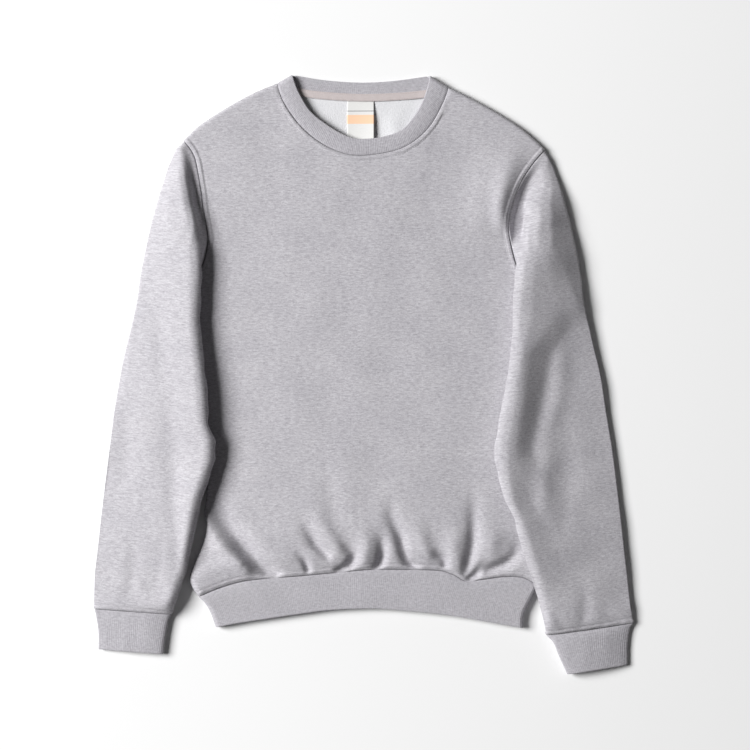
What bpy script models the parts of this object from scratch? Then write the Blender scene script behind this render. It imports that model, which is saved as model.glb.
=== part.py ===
"""Crewneck sweatshirt laid flat on its back, built from its cut and sewn pieces.

Two body panels, two set-in sleeves, and bands of folded rib knit at the neck, hem and cuffs.
The outside of the whole garment is one skin: the pieces share its seam lines, and each cloth
wall hangs inward from it. Left and right are the viewer's, looking down on the front.
Tables and sizes are in millimetres, with X to the right, Y towards the neck and Z up.
"""

import bpy
import bmesh
import math
import numpy as np
from mathutils import Vector
from mathutils.bvhtree import BVHTree

MM = 0.001

# Cloth
FLEECE = 1.6            # wall of brushed fleece
RIB_KNIT = 3.0          # two layers of rib knit
TAPE_CLOTH = 0.8
LABEL_CLOTH = 0.6
SEAM_GAP = 0.3          # between two pieces that are sewn together
REST_GAP = 1.8          # between a sleeve and the body that it lies on
REST_REACH = (0.0, 5.0, 10.0, 15.0, 20.0)      # how far about a point the body can hold it up
REST_EDGE = 7.0        # how far past the body's side it stays as high
INNER_FOLD = 5.5        # radius of the sleeve's fold over the body
REST_SLOPE = 0.75       # at which the sleeve drapes off the body's side

# How the garment lies
FOLD_HEIGHT = 6.0       # of the side and shoulder folds over the table
FRONT_ROLL = (4.5, 11.0)        # least and most run over which the front rolls down to one
FLAT_ROLL = 6.0         # the same for the back and for the bands
BAND_TOP = 12.0         # top of the hem band and of the collar's front

# Rib knit
RIB_PITCH = 4.2
RIB_RELIEF = 0.5

# Mesh density
SHOULDER_COLUMNS = 7
FRONT_NECK_COLUMNS = 42
BACK_NECK_COLUMNS = 12
SIDE_ROWS = 10
ARMHOLE_ROWS = 11
EDGE_STEPS = (0.9, 3.0, 6.5)    # first columns beside a fold
SLEEVE_HEAD = 9         # rings from the armhole that are smoothed
SLEEVE_PASSES = 8       # of that smoothing
NORMAL_PASSES = 2       # of smoothing, before a wall's inside is drawn from its outside
EDGE_FADE = 3           # how fast the hem's and neckline's curves fade away from them
NECK_SPREAD = 60        # how fast the columns crowded at the neck's corners spread below it

# Seam lines seen from above: x, y
HEM_SEAM = ((-210, -284), (-189, -275), (-165, -267), (-138, -262), (-77, -257), (-13, -251),
            (17, -249), (91, -250), (114, -255), (132, -264), (152, -262), (184, -258),
            (206, -260), (224, -270))
HEM_EDGE = ((-188, -323), (-155, -317), (-88, -307), (-42, -301), (8, -299), (47, -301),
            (113, -308), (165, -317), (205, -324))
HEM_SIDES = {"left": ((-210, -284), (-202, -292), (-195, -304), (-188, -323)),
             "right": ((224, -270), (218, -282), (208, -301), (205, -311), (205, -324))}
SIDE_SEAM = {"left": ((-210, -284), (-219, -270), (-221, -255), (-206, -220), (-200, -196),
                      (-203, -177), (-200, -155), (-202, -103), (-214, -33), (-229, 31), (-243, 89)),
             "right": ((224, -270), (229, -256), (228, -238), (223, -216), (219, -190),
                       (218, -162), (220, -103), (227, -33), (234, 31), (243, 89))}
FRONT_ARMHOLE = {"left": ((-243, 89), (-219, 113), (-204, 144), (-198, 172), (-200, 191),
                          (-204, 212), (-206, 231), (-213, 271), (-219, 286), (-229, 299)),
                 "right": ((243, 89), (216, 108), (198, 136), (190, 162), (186, 190),
                           (191, 217), (201, 243), (216, 267), (233, 287))}
BACK_ARMHOLE = {"left": ((-243, 89), (-229, 111), (-219, 140), (-214, 172), (-215, 204),
                         (-218, 236), (-222, 268), (-229, 299)),
                "right": ((243, 89), (229, 111), (219, 140), (214, 172), (214, 204),
                          (216, 236), (224, 267), (233, 287))}
SHOULDER = {"left": ((-229, 299), (-209, 318), (-177, 339), (-141, 359), (-110, 372)),
            "right": ((233, 287), (220, 300), (198, 318), (164, 339), (127, 359), (110, 367))}
FRONT_NECK = ((-110, 372), (-100, 346), (-81, 319), (-57, 298), (-32, 285), (-10, 280),
              (15, 281), (44, 287), (67, 299), (87, 319), (102, 346), (110, 367))
BACK_NECK = ((-110, 372), (-81, 361), (-41, 356), (5, 354), (51, 356), (86, 360), (110, 367))
COLLAR_FRONT_EDGE = ((-91, 383), (-82, 360), (-68, 337), (-49, 321), (-26, 307), (-8, 301),
                     (8, 301), (28, 304), (49, 312), (67, 332), (79, 356), (86, 382))
COLLAR_BACK_EDGE = ((-91, 383), (-49, 376), (-5, 373), (36, 375), (86, 382))

# Height of the front panel's middle, by distance up from the hem seam
FRONT_PROFILE = ((0, 11), (8, 16), (25, 21), (60, 23), (120, 20), (220, 17.5), (350, 16),
                 (450, 13.5), (520, 12), (600, 11))
SIDE_SHARE = 0.72       # height beside the side folds, as a share of the middle's

# Gathers over the hem band and drag lines: half width, depth (a crest is negative), x, y ...
FRONT_FOLDS = (
    (9.0, 7.0, ((-193, -157), (-179, -185), (-157, -212), (-137, -236), (-113, -255))),
    (11.0, -5.0, ((-200, -195), (-180, -222), (-158, -246))),
    (7.0, 5.0, ((-77, -188), (-67, -205), (-58, -218), (-45, -230))),
    (9.0, -3.5, ((-66, -170), (-46, -200), (-30, -222))),
    (6.5, 6.5, ((-26, -214), (-12, -230), (-20, -245), (-32, -251))),
    (9.0, -4.0, ((-5, -190), (4, -215), (2, -240))),
    (6.5, 6.0, ((23, -203), (25, -225), (22, -241), (16, -250))),
    (7.5, 7.0, ((35, -165), (38, -186), (47, -205), (55, -234), (67, -246))),
    (10.0, -4.0, ((62, -178), (72, -205), (84, -230))),
    (7.0, 3.5, ((88, -225), (102, -234), (105, -243))),
    (11.0, -4.0, ((118, -185), (116, -215), (118, -242))),
    (8.0, 6.0, ((141, -140), (141, -200), (138, -226), (131, -252))),
    (7.0, 6.0, ((157, -241), (144, -255), (132, -269))),
    (12.0, -3.5, ((166, -190), (164, -225))),
    (8.0, 5.0, ((197, -210), (195, -228), (184, -240), (160, -250))),
    (14.0, 2.0, ((-50, -90), (-43, -140), (-36, -185))),
)

# Sleeves: each row is a ring from the outer fold to the inner fold.
# outer x, y, inner x, y, outer fold height, inner fold height, crown height,
# share of the armhole's own curve, lap of the front over the body
SLEEVE_RINGS = {
    "left": (
        (-229, 299, -243, 89, 5.5, 5.5, 12, 1.0, 0),
        (-236, 293, -257, 80, 9, 11, 24, 0.88, 4),
        (-246, 277, -263, 70, 11, 16, 32, 0.74, 15),
        (-256, 250, -264, 60, 12, 20, 37, 0.58, 24),
        (-264, 220, -260, 50, 12, 22, 40, 0.4, 30),
        (-272, 187, -251, 40, 12, 22, 41, 0.22, 31),
        (-281, 150, -237, 30, 12, 22, 41, 0.08, 24),
        (-290, 110, -222, 18, 12, 22, 41, 0.0, 12),
        (-299, 65, -210, 5, 12, 21, 40, 0.0, 4),
        (-308, 20, -202, -12, 12, 21, 39, 0.0, 0),
        (-315, -25, -198, -34, 12, 21, 38, 0.0, 0),
        (-321, -70, -192, -60, 12, 21, 37, 0.0, 0),
        (-327, -115, -187, -97, 12, 20, 36, 0.0, 0),
        (-333, -160, -197, -148, 12, 18, 35, 0.0, 0),
        (-338, -205, -209, -197, 12, 14, 34, 0.0, 0),
        (-342, -245, -221, -241, 11, 12, 32, 0.0, 0),
        (-344, -275, -232, -275, 10, 10, 27, 0.0, 0),
        (-344, -292, -240, -296, 8, 8, 20, 0.0, 0),
        (-343, -300, -244, -306, 6.5, 6.5, 13, 0.0, 0),
    ),
    "right": (
        (233, 287, 243, 89, 5.5, 5.5, 12, 1.0, 0),
        (238, 279, 257, 80, 9, 11, 23, 0.88, 4),
        (246, 262, 263, 70, 10, 16, 29, 0.74, 17),
        (255, 238, 264, 60, 11, 20, 34, 0.58, 28),
        (263, 208, 260, 50, 12, 22, 37, 0.42, 37),
        (271, 172, 253, 41, 12, 22, 38, 0.25, 41),
        (279, 136, 242, 31, 12, 22, 39, 0.1, 38),
        (287, 95, 228, 18, 12, 22, 39, 0.0, 28),
        (295, 50, 212, 3, 12, 21, 39, 0.0, 18),
        (302, 5, 197, -17, 12, 21, 38, 0.0, 10),
        (309, -40, 182, -45, 12, 21, 38, 0.0, 4),
        (315, -80, 168, -78, 12, 22, 37, 0.0, 0),
        (322, -125, 171, -120, 12, 22, 36, 0.0, 0),
        (328, -170, 184, -165, 12, 21, 35, 0.0, 0),
        (333, -215, 198, -212, 12, 20, 34, 0.0, 0),
        (338, -255, 212, -256, 11, 18, 32, 0.0, 0),
        (342, -288, 224, -297, 10, 12, 27, 0.0, 0),
        (344, -306, 231, -320, 8, 8, 20, 0.0, 0),
        (345, -318, 234, -333, 6.5, 6.5, 13, 0.0, 0),
    ),
}
LAP_PLACE, LAP_SPREAD = 0.38, 0.10     # round a ring, as a share of its turn
BACK_RELEASE = 2.5        # power by which the back of a sleeve leaves the armhole's curve sooner

# Cuffs: rings from the seam to the open end, in the same columns as the sleeves' rings
CUFF_RINGS = {
    "left": ((-341, -308, -248, -314, 6.0, 6.0, 12.5, 0.0, 0),
             (-338, -328, -252, -334, 6.0, 6.0, 12.5, 0.0, 0),
             (-338, -351, -255, -357, 6.0, 6.0, 12.0, 0.0, 0)),
    "right": ((341, -326, 243, -342, 6.0, 6.0, 12.5, 0.0, 0),
              (338, -347, 250, -359, 6.0, 6.0, 12.5, 0.0, 0),
              (338, -371, 261, -383, 6.0, 6.0, 12.0, 0.0, 0)),
}

# Inside the back neck
TAPE_HALF_WIDTH = 4.8
TAPE_ENDS = (0.17, 0.83)        # along the back neck seam
TAPE_HEIGHT = RIB_KNIT + RIB_RELIEF + 0.3
LABEL_SIZE = (34.5, 52.0)
LABEL_TOP = (-3.0, 351.5)
LABEL_LIFT = 2.2                # how far its loose end stands off the panel

MATERIALS = {
    "fleece": ((0.52, 0.51, 0.54, 1.0), 0.95),
    "rib": ((0.47, 0.46, 0.49, 1.0), 0.95),
    "tape": ((0.57, 0.50, 0.50, 1.0), 0.9),
    "label": ((0.86, 0.85, 0.83, 1.0), 0.6),
}


# ---------------------------------------------------------------- curves and profiles

def spline(points):
    """A smooth curve through the points: a function from 0..1, by length, to places on it."""
    knots = np.array(points, float)
    ends = np.vstack([2 * knots[0] - knots[1], knots, 2 * knots[-1] - knots[-2]])
    dense = []
    for a, b, c, d in zip(ends[:-3], ends[1:-2], ends[2:-1], ends[3:]):
        for t in np.linspace(0, 1, 16, endpoint=False):
            dense.append(0.5 * (2 * b + (c - a) * t + (2 * a - 5 * b + 4 * c - d) * t ** 2
                                + (3 * b - a - 3 * c + d) * t ** 3))
    dense.append(knots[-1])
    dense = np.array(dense)
    steps = np.linalg.norm(np.diff(dense, axis=0), axis=1)
    length = np.concatenate([[0.0], np.cumsum(steps)])

    def at(share):
        where = np.asarray(share, float) * length[-1]
        return np.stack([np.interp(where, length, dense[:, k]) for k in range(2)], axis=-1)

    at.length = length[-1]
    return at


def eased(count, crowding):
    """Shares 0..1 in count steps, crowded towards both ends."""
    k = np.arange(count + 1) / count
    return (1 - crowding) * k + crowding * (1 - np.cos(math.pi * k)) / 2


def edge_shares(count, length, steps=EDGE_STEPS):
    """Shares 0..1 whose first and last steps are the fine ones beside a fold."""
    fine = np.array(steps) / length
    middle = np.linspace(fine[-1], 1 - fine[-1], count - 2 * len(steps) + 1)
    return np.concatenate([[0.0], fine[:-1], middle, 1 - fine[-2::-1], [1.0]])


def along_chord(points):
    """Where each point of an edge is between its ends, across, and how far above their chord."""
    share = (points[:, 0] - points[0, 0]) / (points[-1, 0] - points[0, 0])
    return share, points[:, 1] - points[0, 1] - share * (points[-1, 1] - points[0, 1])


def roll(distance, radius):
    """0 on a fold and 1 where the cloth lies flat, along a quarter circle."""
    near = np.clip(1 - np.asarray(distance, float) / radius, 0, 1)
    return np.sqrt(1 - near ** 2)


def fold_relief(x, y, folds):
    """Height that the folds add at x, y: each is a soft furrow or ridge that fades at its ends."""
    relief = np.zeros(np.shape(x))
    for half_width, depth, points in folds:
        route = spline(points)(np.linspace(0, 1, 24))
        gap = np.hypot(x[..., None] - route[:, 0], y[..., None] - route[:, 1])
        nearest = gap.argmin(axis=-1)
        fade = np.sin(math.pi * (0.12 + 0.76 * nearest / 23))
        relief -= depth * fade * np.exp(-(gap.min(axis=-1) / half_width) ** 2)
    return relief


# ---------------------------------------------------------------- the outer skin

def body_grid(neck, neck_columns, armholes):
    """Plan of a body panel, columns by rows, with the distances to its own edges."""
    shoulder_left = spline(SHOULDER["left"])
    shoulder_right = spline(SHOULDER["right"][::-1])
    neck_curve = spline(neck)
    hem = spline(HEM_SEAM)

    reach = shoulder_left.length
    shoulder = np.concatenate([[0.0], np.array(EDGE_STEPS) / reach,
                               np.linspace(EDGE_STEPS[-1] / reach, 1,
                                           SHOULDER_COLUMNS - len(EDGE_STEPS) + 1)[1:]])
    neck_shares = edge_shares(neck_columns, neck_curve.length)
    top, even_top = (np.vstack([shoulder_left(shoulder), neck_curve(shares)[1:],
                                shoulder_right(1 - shoulder[::-1])[1:]])
                     for shares in (neck_shares, np.linspace(0, 1, neck_columns + 1)))
    columns = len(top) - 1
    bottom_shares = edge_shares(columns, hem.length)
    bottom = hem(bottom_shares)

    sides = {}
    for side in ("left", "right"):
        seam = spline(SIDE_SEAM[side])
        low = np.array([0, 7, 18, 32, 50, 75, 110, 160, 220, 290]) / 373.0
        armhole = spline(armholes[side])(eased(ARMHOLE_ROWS, 0.6))
        sides[side] = np.vstack([seam(low), armhole])
    left, right = sides["left"], sides["right"]
    rows = len(left) - 1

    # Rows run from side to side. The hem's and the neckline's own curves fade away from them.
    climb = np.linalg.norm(np.diff(left, axis=0), axis=1) + np.linalg.norm(np.diff(right, axis=0), axis=1)
    eta = np.concatenate([[0.0], np.cumsum(climb)]) / climb.sum()
    fade = (1 - eta) ** EDGE_FADE, eta ** EDGE_FADE, eta ** NECK_SPREAD
    low_share, low_rise = along_chord(bottom)
    high_share, high_rise = along_chord(top)
    even_share, even_rise = along_chord(even_top)
    high_share, high_rise = (np.outer(even, 1 - fade[2]) + np.outer(fine, fade[2])
                             for even, fine in ((even_share, high_share), (even_rise, high_rise)))
    share = (np.outer(low_share, 1 - eta) + high_share * eta)[..., None]
    plan = (1 - share) * left + share * right
    plan[..., 1] += np.outer(low_rise, fade[0]) + high_rise * fade[1]

    # Distances to the panel's own edges, along its rows and columns
    across = np.linalg.norm(np.diff(plan, axis=0), axis=2)
    from_left = np.vstack([np.zeros(rows + 1), np.cumsum(across, axis=0)])
    from_right = from_left[-1] - from_left
    along = np.linalg.norm(np.diff(plan, axis=1), axis=2)
    from_hem = np.hstack([np.zeros((columns + 1, 1)), np.cumsum(along, axis=1)])
    from_top = from_hem[:, -1:] - from_hem

    open_rows = np.zeros(rows + 1)
    armhole_length = spline(armholes["left"]).length
    run = eased(ARMHOLE_ROWS, 0.6) * armhole_length
    open_rows[-ARMHOLE_ROWS - 1:] = roll(np.minimum(run, armhole_length - run), 2 * FLAT_ROLL)
    open_columns = np.zeros(columns + 1)
    run = neck_shares * neck_curve.length
    open_columns[SHOULDER_COLUMNS:SHOULDER_COLUMNS + neck_columns + 1] = roll(
        np.minimum(run, neck_curve.length - run), FLAT_ROLL)

    edges = ((from_left, open_rows[None, :]), (from_right, open_rows[None, :]),
             (from_top, open_columns[:, None]))
    return plan, edges, from_hem, bottom_shares


def rise(edges, radius):
    """How far the points have risen from the panel's folds, 0 to 1; it stays open elsewhere."""
    risen = 1.0
    for distance, openness in edges:
        risen = risen * (openness + (1 - openness) * roll(distance, radius))
    return risen


def front_skin():
    plan, edges, from_hem, shares = body_grid(FRONT_NECK, FRONT_NECK_COLUMNS, FRONT_ARMHOLE)
    x, y = plan[..., 0], plan[..., 1]
    distance, height = np.array(FRONT_PROFILE, float).T
    middle = np.interp(from_hem, distance, height)
    spread = np.abs(2 * shares[:, None] - 1) ** 2.5 * np.clip(from_hem / 40.0, 0, 1)
    domed = FOLD_HEIGHT + (middle - FOLD_HEIGHT) * (1 - (1 - SIDE_SHARE) * spread)
    lift = np.clip(from_hem / 14.0, 0, 1)
    relief = fold_relief(x, y, FRONT_FOLDS) * lift
    risen = rise(edges, np.clip(domed - FOLD_HEIGHT, *FRONT_ROLL))
    z = FOLD_HEIGHT + (domed + relief - FOLD_HEIGHT) * risen
    return np.dstack([x, y, z])


def back_skin():
    plan, edges, _, _ = body_grid(BACK_NECK, BACK_NECK_COLUMNS, BACK_ARMHOLE)
    z = FOLD_HEIGHT * (1 - rise(edges, FLAT_ROLL))
    return np.dstack([plan, z])


def armhole_loop(front, back, side):
    """The armhole's ring: shoulder, down the front to the underarm, and up the back."""
    edge = 0 if side == "left" else -1
    down = front[edge, -ARMHOLE_ROWS - 1:][::-1]
    up = back[edge, -ARMHOLE_ROWS - 1:]
    return np.vstack([down, up[1:-1]])


def ring(row):
    """A flattened tube section: over the top from the outer fold, and back underneath."""
    outer_x, outer_y, inner_x, inner_y, outer_z, inner_z, crown, _, lap = row
    place = np.arange(2 * ARMHOLE_ROWS) / (2 * ARMHOLE_ROWS)
    turn = 2 * math.pi * place
    share = (1 - np.cos(turn)) / 2
    fold_z = outer_z + (inner_z - outer_z) * share
    over = np.clip(np.sin(turn), 0, 1) ** 0.75
    under = np.clip(1.12 * np.abs(np.clip(np.sin(turn), -1, 0)) ** 0.6, 0, 1)
    z = fold_z * (1 - over) * (1 - under) + crown * over
    lapped = math.copysign(lap, -outer_x) * np.exp(-((place - LAP_PLACE) / LAP_SPREAD) ** 2)
    return np.column_stack([outer_x + (inner_x - outer_x) * share + lapped,
                            outer_y + (inner_y - outer_y) * share, z])


def sleeve_skin(front, back, side, support):
    """Rings from the armhole to the cuff seam, resting on the table and on the body's side."""
    rows = SLEEVE_RINGS[side]
    armhole = armhole_loop(front, back, side)
    pull = armhole - ring(rows[0])
    rings = [armhole]
    for number, row in enumerate(rows[1:], start=1):
        held = np.full(len(pull), row[-2])
        held[ARMHOLE_ROWS + 1:] **= BACK_RELEASE
        points = ring(row) + held[:, None] * pull
        points[:, 2] = np.maximum(points[:, 2], 0)
        rings.append(rest_on(points, support, REST_REACH[:number]))
    rings = np.array(rings)
    for _ in range(SLEEVE_PASSES):
        rings[1:SLEEVE_HEAD] = smoothed(rings)[1:SLEEVE_HEAD]
    for number in range(1, len(rings) - 1):
        rings[number] = rest_on(rings[number], support, REST_REACH[:min(number, 2)])
    return rings


def smoothed(rings):
    """Each point of a tube moved halfway to the middle of its four neighbours."""
    round_it = (np.roll(rings, 1, axis=1) + np.roll(rings, -1, axis=1)) / 2
    along = rings.copy()
    along[1:-1] = (rings[:-2] + rings[2:]) / 2
    return rings / 2 + (round_it + along) / 4


def rest_on(points, support, reaches):
    """Lift points that would sink into the body, or come too close to it."""
    lifted = points.copy()
    turn_height = np.sin(2 * math.pi * np.arange(len(points)) / len(points))
    stands = REST_GAP + INNER_FOLD * (1 + np.sign(turn_height) * np.abs(turn_height) ** 0.6)
    for point, stand in zip(lifted, stands):
        for reach in reaches:
            for turn in range(12 if reach else 1):
                bearing = turn * math.pi / 6
                start = Vector((point[0] + reach * math.cos(bearing),
                                point[1] + reach * math.sin(bearing), 200.0))
                hit = support.ray_cast(start, Vector((0, 0, -1)))[0]
                if hit:
                    drape = REST_SLOPE * max(0.0, reach - REST_EDGE)
                    point[2] = max(point[2], hit.z + stand - drape)
    return lifted


def hem_skin(front, back):
    """Rings of the hem band, from its seam with the body to the open edge."""
    seam = np.vstack([front[:, 0], back[-2:0:-1, 0]])
    edge_curve = spline(HEM_EDGE)
    front_run = np.linalg.norm(np.diff(front[:, 0, :2], axis=0), axis=1)
    back_run = np.linalg.norm(np.diff(back[:, 0, :2], axis=0), axis=1)
    front_shares = np.concatenate([[0.0], np.cumsum(front_run)]) / front_run.sum()
    back_shares = np.concatenate([[0.0], np.cumsum(back_run)]) / back_run.sum()
    shares = np.concatenate([front_shares, back_shares[-2:0:-1]])
    is_front = np.arange(len(shares)) < len(front_shares)
    side_left, side_right = spline(HEM_SIDES["left"]), spline(HEM_SIDES["right"])
    rings = [seam]
    for down in (0.12, 0.55, 0.97, 1.0):
        left, right = side_left(down), side_right(down)
        straight_seam = seam[:, :2] - np.outer(1 - shares, seam[0, :2]) - np.outer(
            shares, seam[len(front_shares) - 1, :2])
        straight_edge = edge_curve(shares) - np.outer(1 - shares, edge_curve(0.0)) - np.outer(
            shares, edge_curve(1.0))
        plan = (np.outer(1 - shares, left) + np.outer(shares, right)
                + (1 - down) * straight_seam + down * straight_edge)
        inset = np.minimum(shares, 1 - shares) * edge_curve.length
        flat = roll(inset, FLAT_ROLL)
        z = np.where(is_front, FOLD_HEIGHT + (BAND_TOP - FOLD_HEIGHT) * flat,
                     FOLD_HEIGHT * (1 - flat))
        rings.append(np.column_stack([plan, z]))
    return np.array(rings)


def cuff_skin(sleeve, side):
    return np.array([sleeve[-1]] + [ring(row) for row in CUFF_RINGS[side]])


def collar_skin(front, back):
    """Rings of the collar, from the neck seam to its free edge."""
    first, last = SHOULDER_COLUMNS, SHOULDER_COLUMNS + FRONT_NECK_COLUMNS
    back_last = SHOULDER_COLUMNS + BACK_NECK_COLUMNS
    seam = np.vstack([front[first:last + 1, -1], back[back_last - 1:first:-1, -1]])
    front_edge = spline(COLLAR_FRONT_EDGE)
    back_edge = spline(COLLAR_BACK_EDGE)
    front_shares = edge_shares(FRONT_NECK_COLUMNS, front_edge.length)
    back_shares = edge_shares(BACK_NECK_COLUMNS, back_edge.length)
    edge = np.vstack([front_edge(front_shares), back_edge(back_shares[-2:0:-1])])
    inset = np.concatenate([np.minimum(front_shares, 1 - front_shares) * front_edge.length,
                            (np.minimum(back_shares, 1 - back_shares) * back_edge.length)[-2:0:-1]])
    flat = roll(inset, FLAT_ROLL)
    is_front = np.arange(len(edge)) <= FRONT_NECK_COLUMNS
    edge_z = np.where(is_front, FOLD_HEIGHT + (BAND_TOP - FOLD_HEIGHT) * flat,
                      FOLD_HEIGHT * (1 - flat))
    edge = np.column_stack([edge, edge_z])
    return np.array([seam + (edge - seam) * share for share in (0.0, 0.15, 0.5, 0.93, 1.0)])


# ---------------------------------------------------------------- walls

def grid_faces(grid, closed, start=0):
    """Quads of a grid of points, rows by columns; closed joins the last column to the first."""
    rows, columns = grid.shape[:2]
    faces = []
    for r in range(rows - 1):
        for c in range(columns if closed else columns - 1):
            n = (c + 1) % columns
            faces.append([start + r * columns + c, start + r * columns + n,
                          start + (r + 1) * columns + n, start + (r + 1) * columns + c])
    return faces


def skin_normals(skins):
    """Outward normals of every skin point, shared where the pieces meet at a seam."""
    sums = {}
    for grid, closed, flip in skins:
        points = grid.reshape(-1, 3)
        for face in grid_faces(grid, closed):
            corners = points[face]
            for k in range(4):
                here = corners[k]
                ahead = corners[(k + 1) % 4] - here
                behind = corners[k - 1] - here
                normal = np.cross(ahead, behind)
                size = np.linalg.norm(normal)
                if size < 1e-9:
                    continue
                spread = math.atan2(size, float(ahead @ behind))
                key = tuple(np.round(here, 3))
                sums[key] = sums.get(key, 0) + flip * normal / size * spread
    around = {}
    for grid, closed, _ in skins:
        keys = [tuple(p) for p in np.round(grid.reshape(-1, 3), 3)]
        for face in grid_faces(grid, closed):
            for k in range(4):
                a, b = keys[face[k]], keys[face[k - 1]]
                around.setdefault(a, set()).add(b)
                around.setdefault(b, set()).add(a)
    for _ in range(NORMAL_PASSES):
        units = {key: total / np.linalg.norm(total) for key, total in sums.items()}
        sums = {key: unit + sum(units[other] for other in around[key]) / len(around[key])
                for key, unit in units.items()}
    shared = []
    for grid, _, _ in skins:
        normals = np.array([sums[tuple(np.round(p, 3))] for p in grid.reshape(-1, 3)])
        normals /= np.linalg.norm(normals, axis=1)[:, None]
        shared.append(normals.reshape(grid.shape))
    return shared


def share_armhole_edge(front_normals, back_normals, edge, ring_normals):
    """Cut the sleeve's side of an armhole seam as the body's side is, square to the body."""
    down = front_normals[edge, -ARMHOLE_ROWS - 1:]
    up = back_normals[edge, -ARMHOLE_ROWS - 1:]
    ring_normals[:] = np.vstack([down[::-1], up[1:-1]])


def part_seams(grid, normals, edges, closed=False, gap=SEAM_GAP / 2):
    """Draw the named edges of a grid back from their seams."""
    moved = grid.copy()
    everywhere = slice(None)
    for edge in edges:
        rim, near = {"first_row": (0, 1), "last_row": (-1, -2),
                     "first_column": ((everywhere, 0), (everywhere, 1)),
                     "last_column": ((everywhere, -1), (everywhere, -2))}[edge]
        along = np.gradient(grid[rim], axis=0)
        if closed:
            along = np.roll(grid[rim], -1, axis=0) - np.roll(grid[rim], 1, axis=0)
        inward = np.cross(normals[rim], along)
        inward /= np.linalg.norm(inward, axis=-1, keepdims=True)
        if (inward * (grid[near] - grid[rim])).sum() < 0:
            inward = -inward
        moved[rim] += inward * gap
    return moved


def make_object(name, points, faces, material):
    mesh = bpy.data.meshes.new(name)
    mesh.from_pydata([tuple(p * MM) for p in points], [], faces)
    solid = bmesh.new()
    solid.from_mesh(mesh)
    bmesh.ops.triangulate(solid, faces=solid.faces[:])
    bmesh.ops.recalc_face_normals(solid, faces=solid.faces[:])
    solid.to_mesh(mesh)
    solid.free()
    mesh.materials.append(material)
    mesh.shade_smooth()
    mesh.set_sharp_from_angle(angle=math.radians(50))
    obj = bpy.data.objects.new(name, mesh)
    bpy.context.collection.objects.link(obj)
    return obj


def panel_solid(name, grid, normals, material):
    """An open panel: its outer face, the inner face one wall below it, and its four edges."""
    outer = part_seams(grid, normals, ("first_row", "last_row", "first_column", "last_column"))
    inner = outer - FLEECE * normals
    rows, columns = grid.shape[:2]
    count = rows * columns
    points = np.vstack([outer.reshape(-1, 3), inner.reshape(-1, 3)])
    faces = grid_faces(grid, False)
    faces += [[count + v for v in face[::-1]] for face in grid_faces(grid, False)]
    index = np.arange(count).reshape(rows, columns)
    rim = np.concatenate([index[0, :], index[1:, -1], index[-1, -2::-1], index[-2:0:-1, 0]])
    for a, b in zip(rim, np.roll(rim, -1)):
        faces.append([b, a, count + a, count + b])
    return make_object(name, points, faces, material)


def tube_solid(name, grid, normals, material):
    """A tube of cloth, open at both ends."""
    outer = part_seams(grid, normals, ("first_row",), closed=True, gap=SEAM_GAP)
    outer[-1] = part_seams(grid, normals, ("last_row",), closed=True)[-1]
    inner = outer - FLEECE * normals
    rows, columns = grid.shape[:2]
    count = rows * columns
    points = np.vstack([outer.reshape(-1, 3), inner.reshape(-1, 3)])
    faces = grid_faces(grid, True)
    faces += [[count + v for v in face[::-1]] for face in grid_faces(grid, True)]
    for start in (0, (rows - 1) * columns):
        for c in range(columns):
            a, b = start + c, start + (c + 1) % columns
            faces.append([b, a, count + a, count + b])
    return make_object(name, points, faces, material)


def ribbed(loop, normals, ribs):
    """A loop with its ribs: between two of its points, a valley and a ridge for each rib."""
    points, firsts = [], []
    for k in range(len(loop)):
        firsts.append(len(points))
        steps = max(1, 2 * ribs[k])
        for s in range(steps):
            share = s / steps
            n = (k + 1) % len(loop)
            place = loop[k] * (1 - share) + loop[n] * share
            if s % 2:
                normal = normals[k] * (1 - share) + normals[n] * share
                place = place + RIB_RELIEF * normal / np.linalg.norm(normal)
            points.append(place)
    firsts.append(len(points))
    return np.array(points), firsts


def bridge(coarse, fine, firsts, coarse_start, fine_start):
    """Triangles between a plain loop and a ribbed one."""
    faces = []
    count, total = len(coarse), len(fine)
    for k in range(count):
        a, b = coarse_start + k, coarse_start + (k + 1) % count
        middle = (firsts[k] + firsts[k + 1]) // 2
        for f in range(firsts[k], firsts[k + 1]):
            tip = a if f < middle else b
            faces.append([tip, fine_start + f, fine_start + (f + 1) % total])
        faces.append([a, fine_start + middle % total, b])
    return faces


def band_solid(name, grid, normals, ribs_out, ribs_in, material):
    """A band of folded rib knit, from its seam ring to its folded edge."""
    outer = part_seams(grid, normals, ("first_row",), closed=True, gap=SEAM_GAP)
    inner = outer - RIB_KNIT * normals
    points, faces = [], []

    def add(loop):
        start = sum(len(part) for part in points)
        points.append(loop)
        return start

    walls = []
    for wall, sign, ribs in ((outer, 1, ribs_out), (inner, -1, ribs_in)):
        seam = add(wall[0])
        fine = []
        for r in range(1, len(wall) - 1):
            loop, firsts = ribbed(wall[r], sign * normals[r], ribs)
            fine.append((add(loop), loop, firsts))
        edge = add(wall[-1])
        near, far = fine[0], fine[-1]
        faces += bridge(wall[0], near[1], near[2], seam, near[0])
        for (start_a, loop, _), (start_b, _, _) in zip(fine[:-1], fine[1:]):
            n = len(loop)
            faces += [[start_a + k, start_a + (k + 1) % n, start_b + (k + 1) % n, start_b + k]
                      for k in range(n)]
        faces += bridge(wall[-1], far[1], far[2], edge, far[0])
        walls.append((seam, edge, len(wall[0])))
    (seam_out, edge_out, count), (seam_in, edge_in, _) = walls
    for k in range(count):
        n = (k + 1) % count
        faces.append([seam_out + k, seam_out + n, seam_in + n, seam_in + k])
        faces.append([edge_out + k, edge_out + n, edge_in + n, edge_in + k])
    return make_object(name, np.vstack(points), faces, material)


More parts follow.
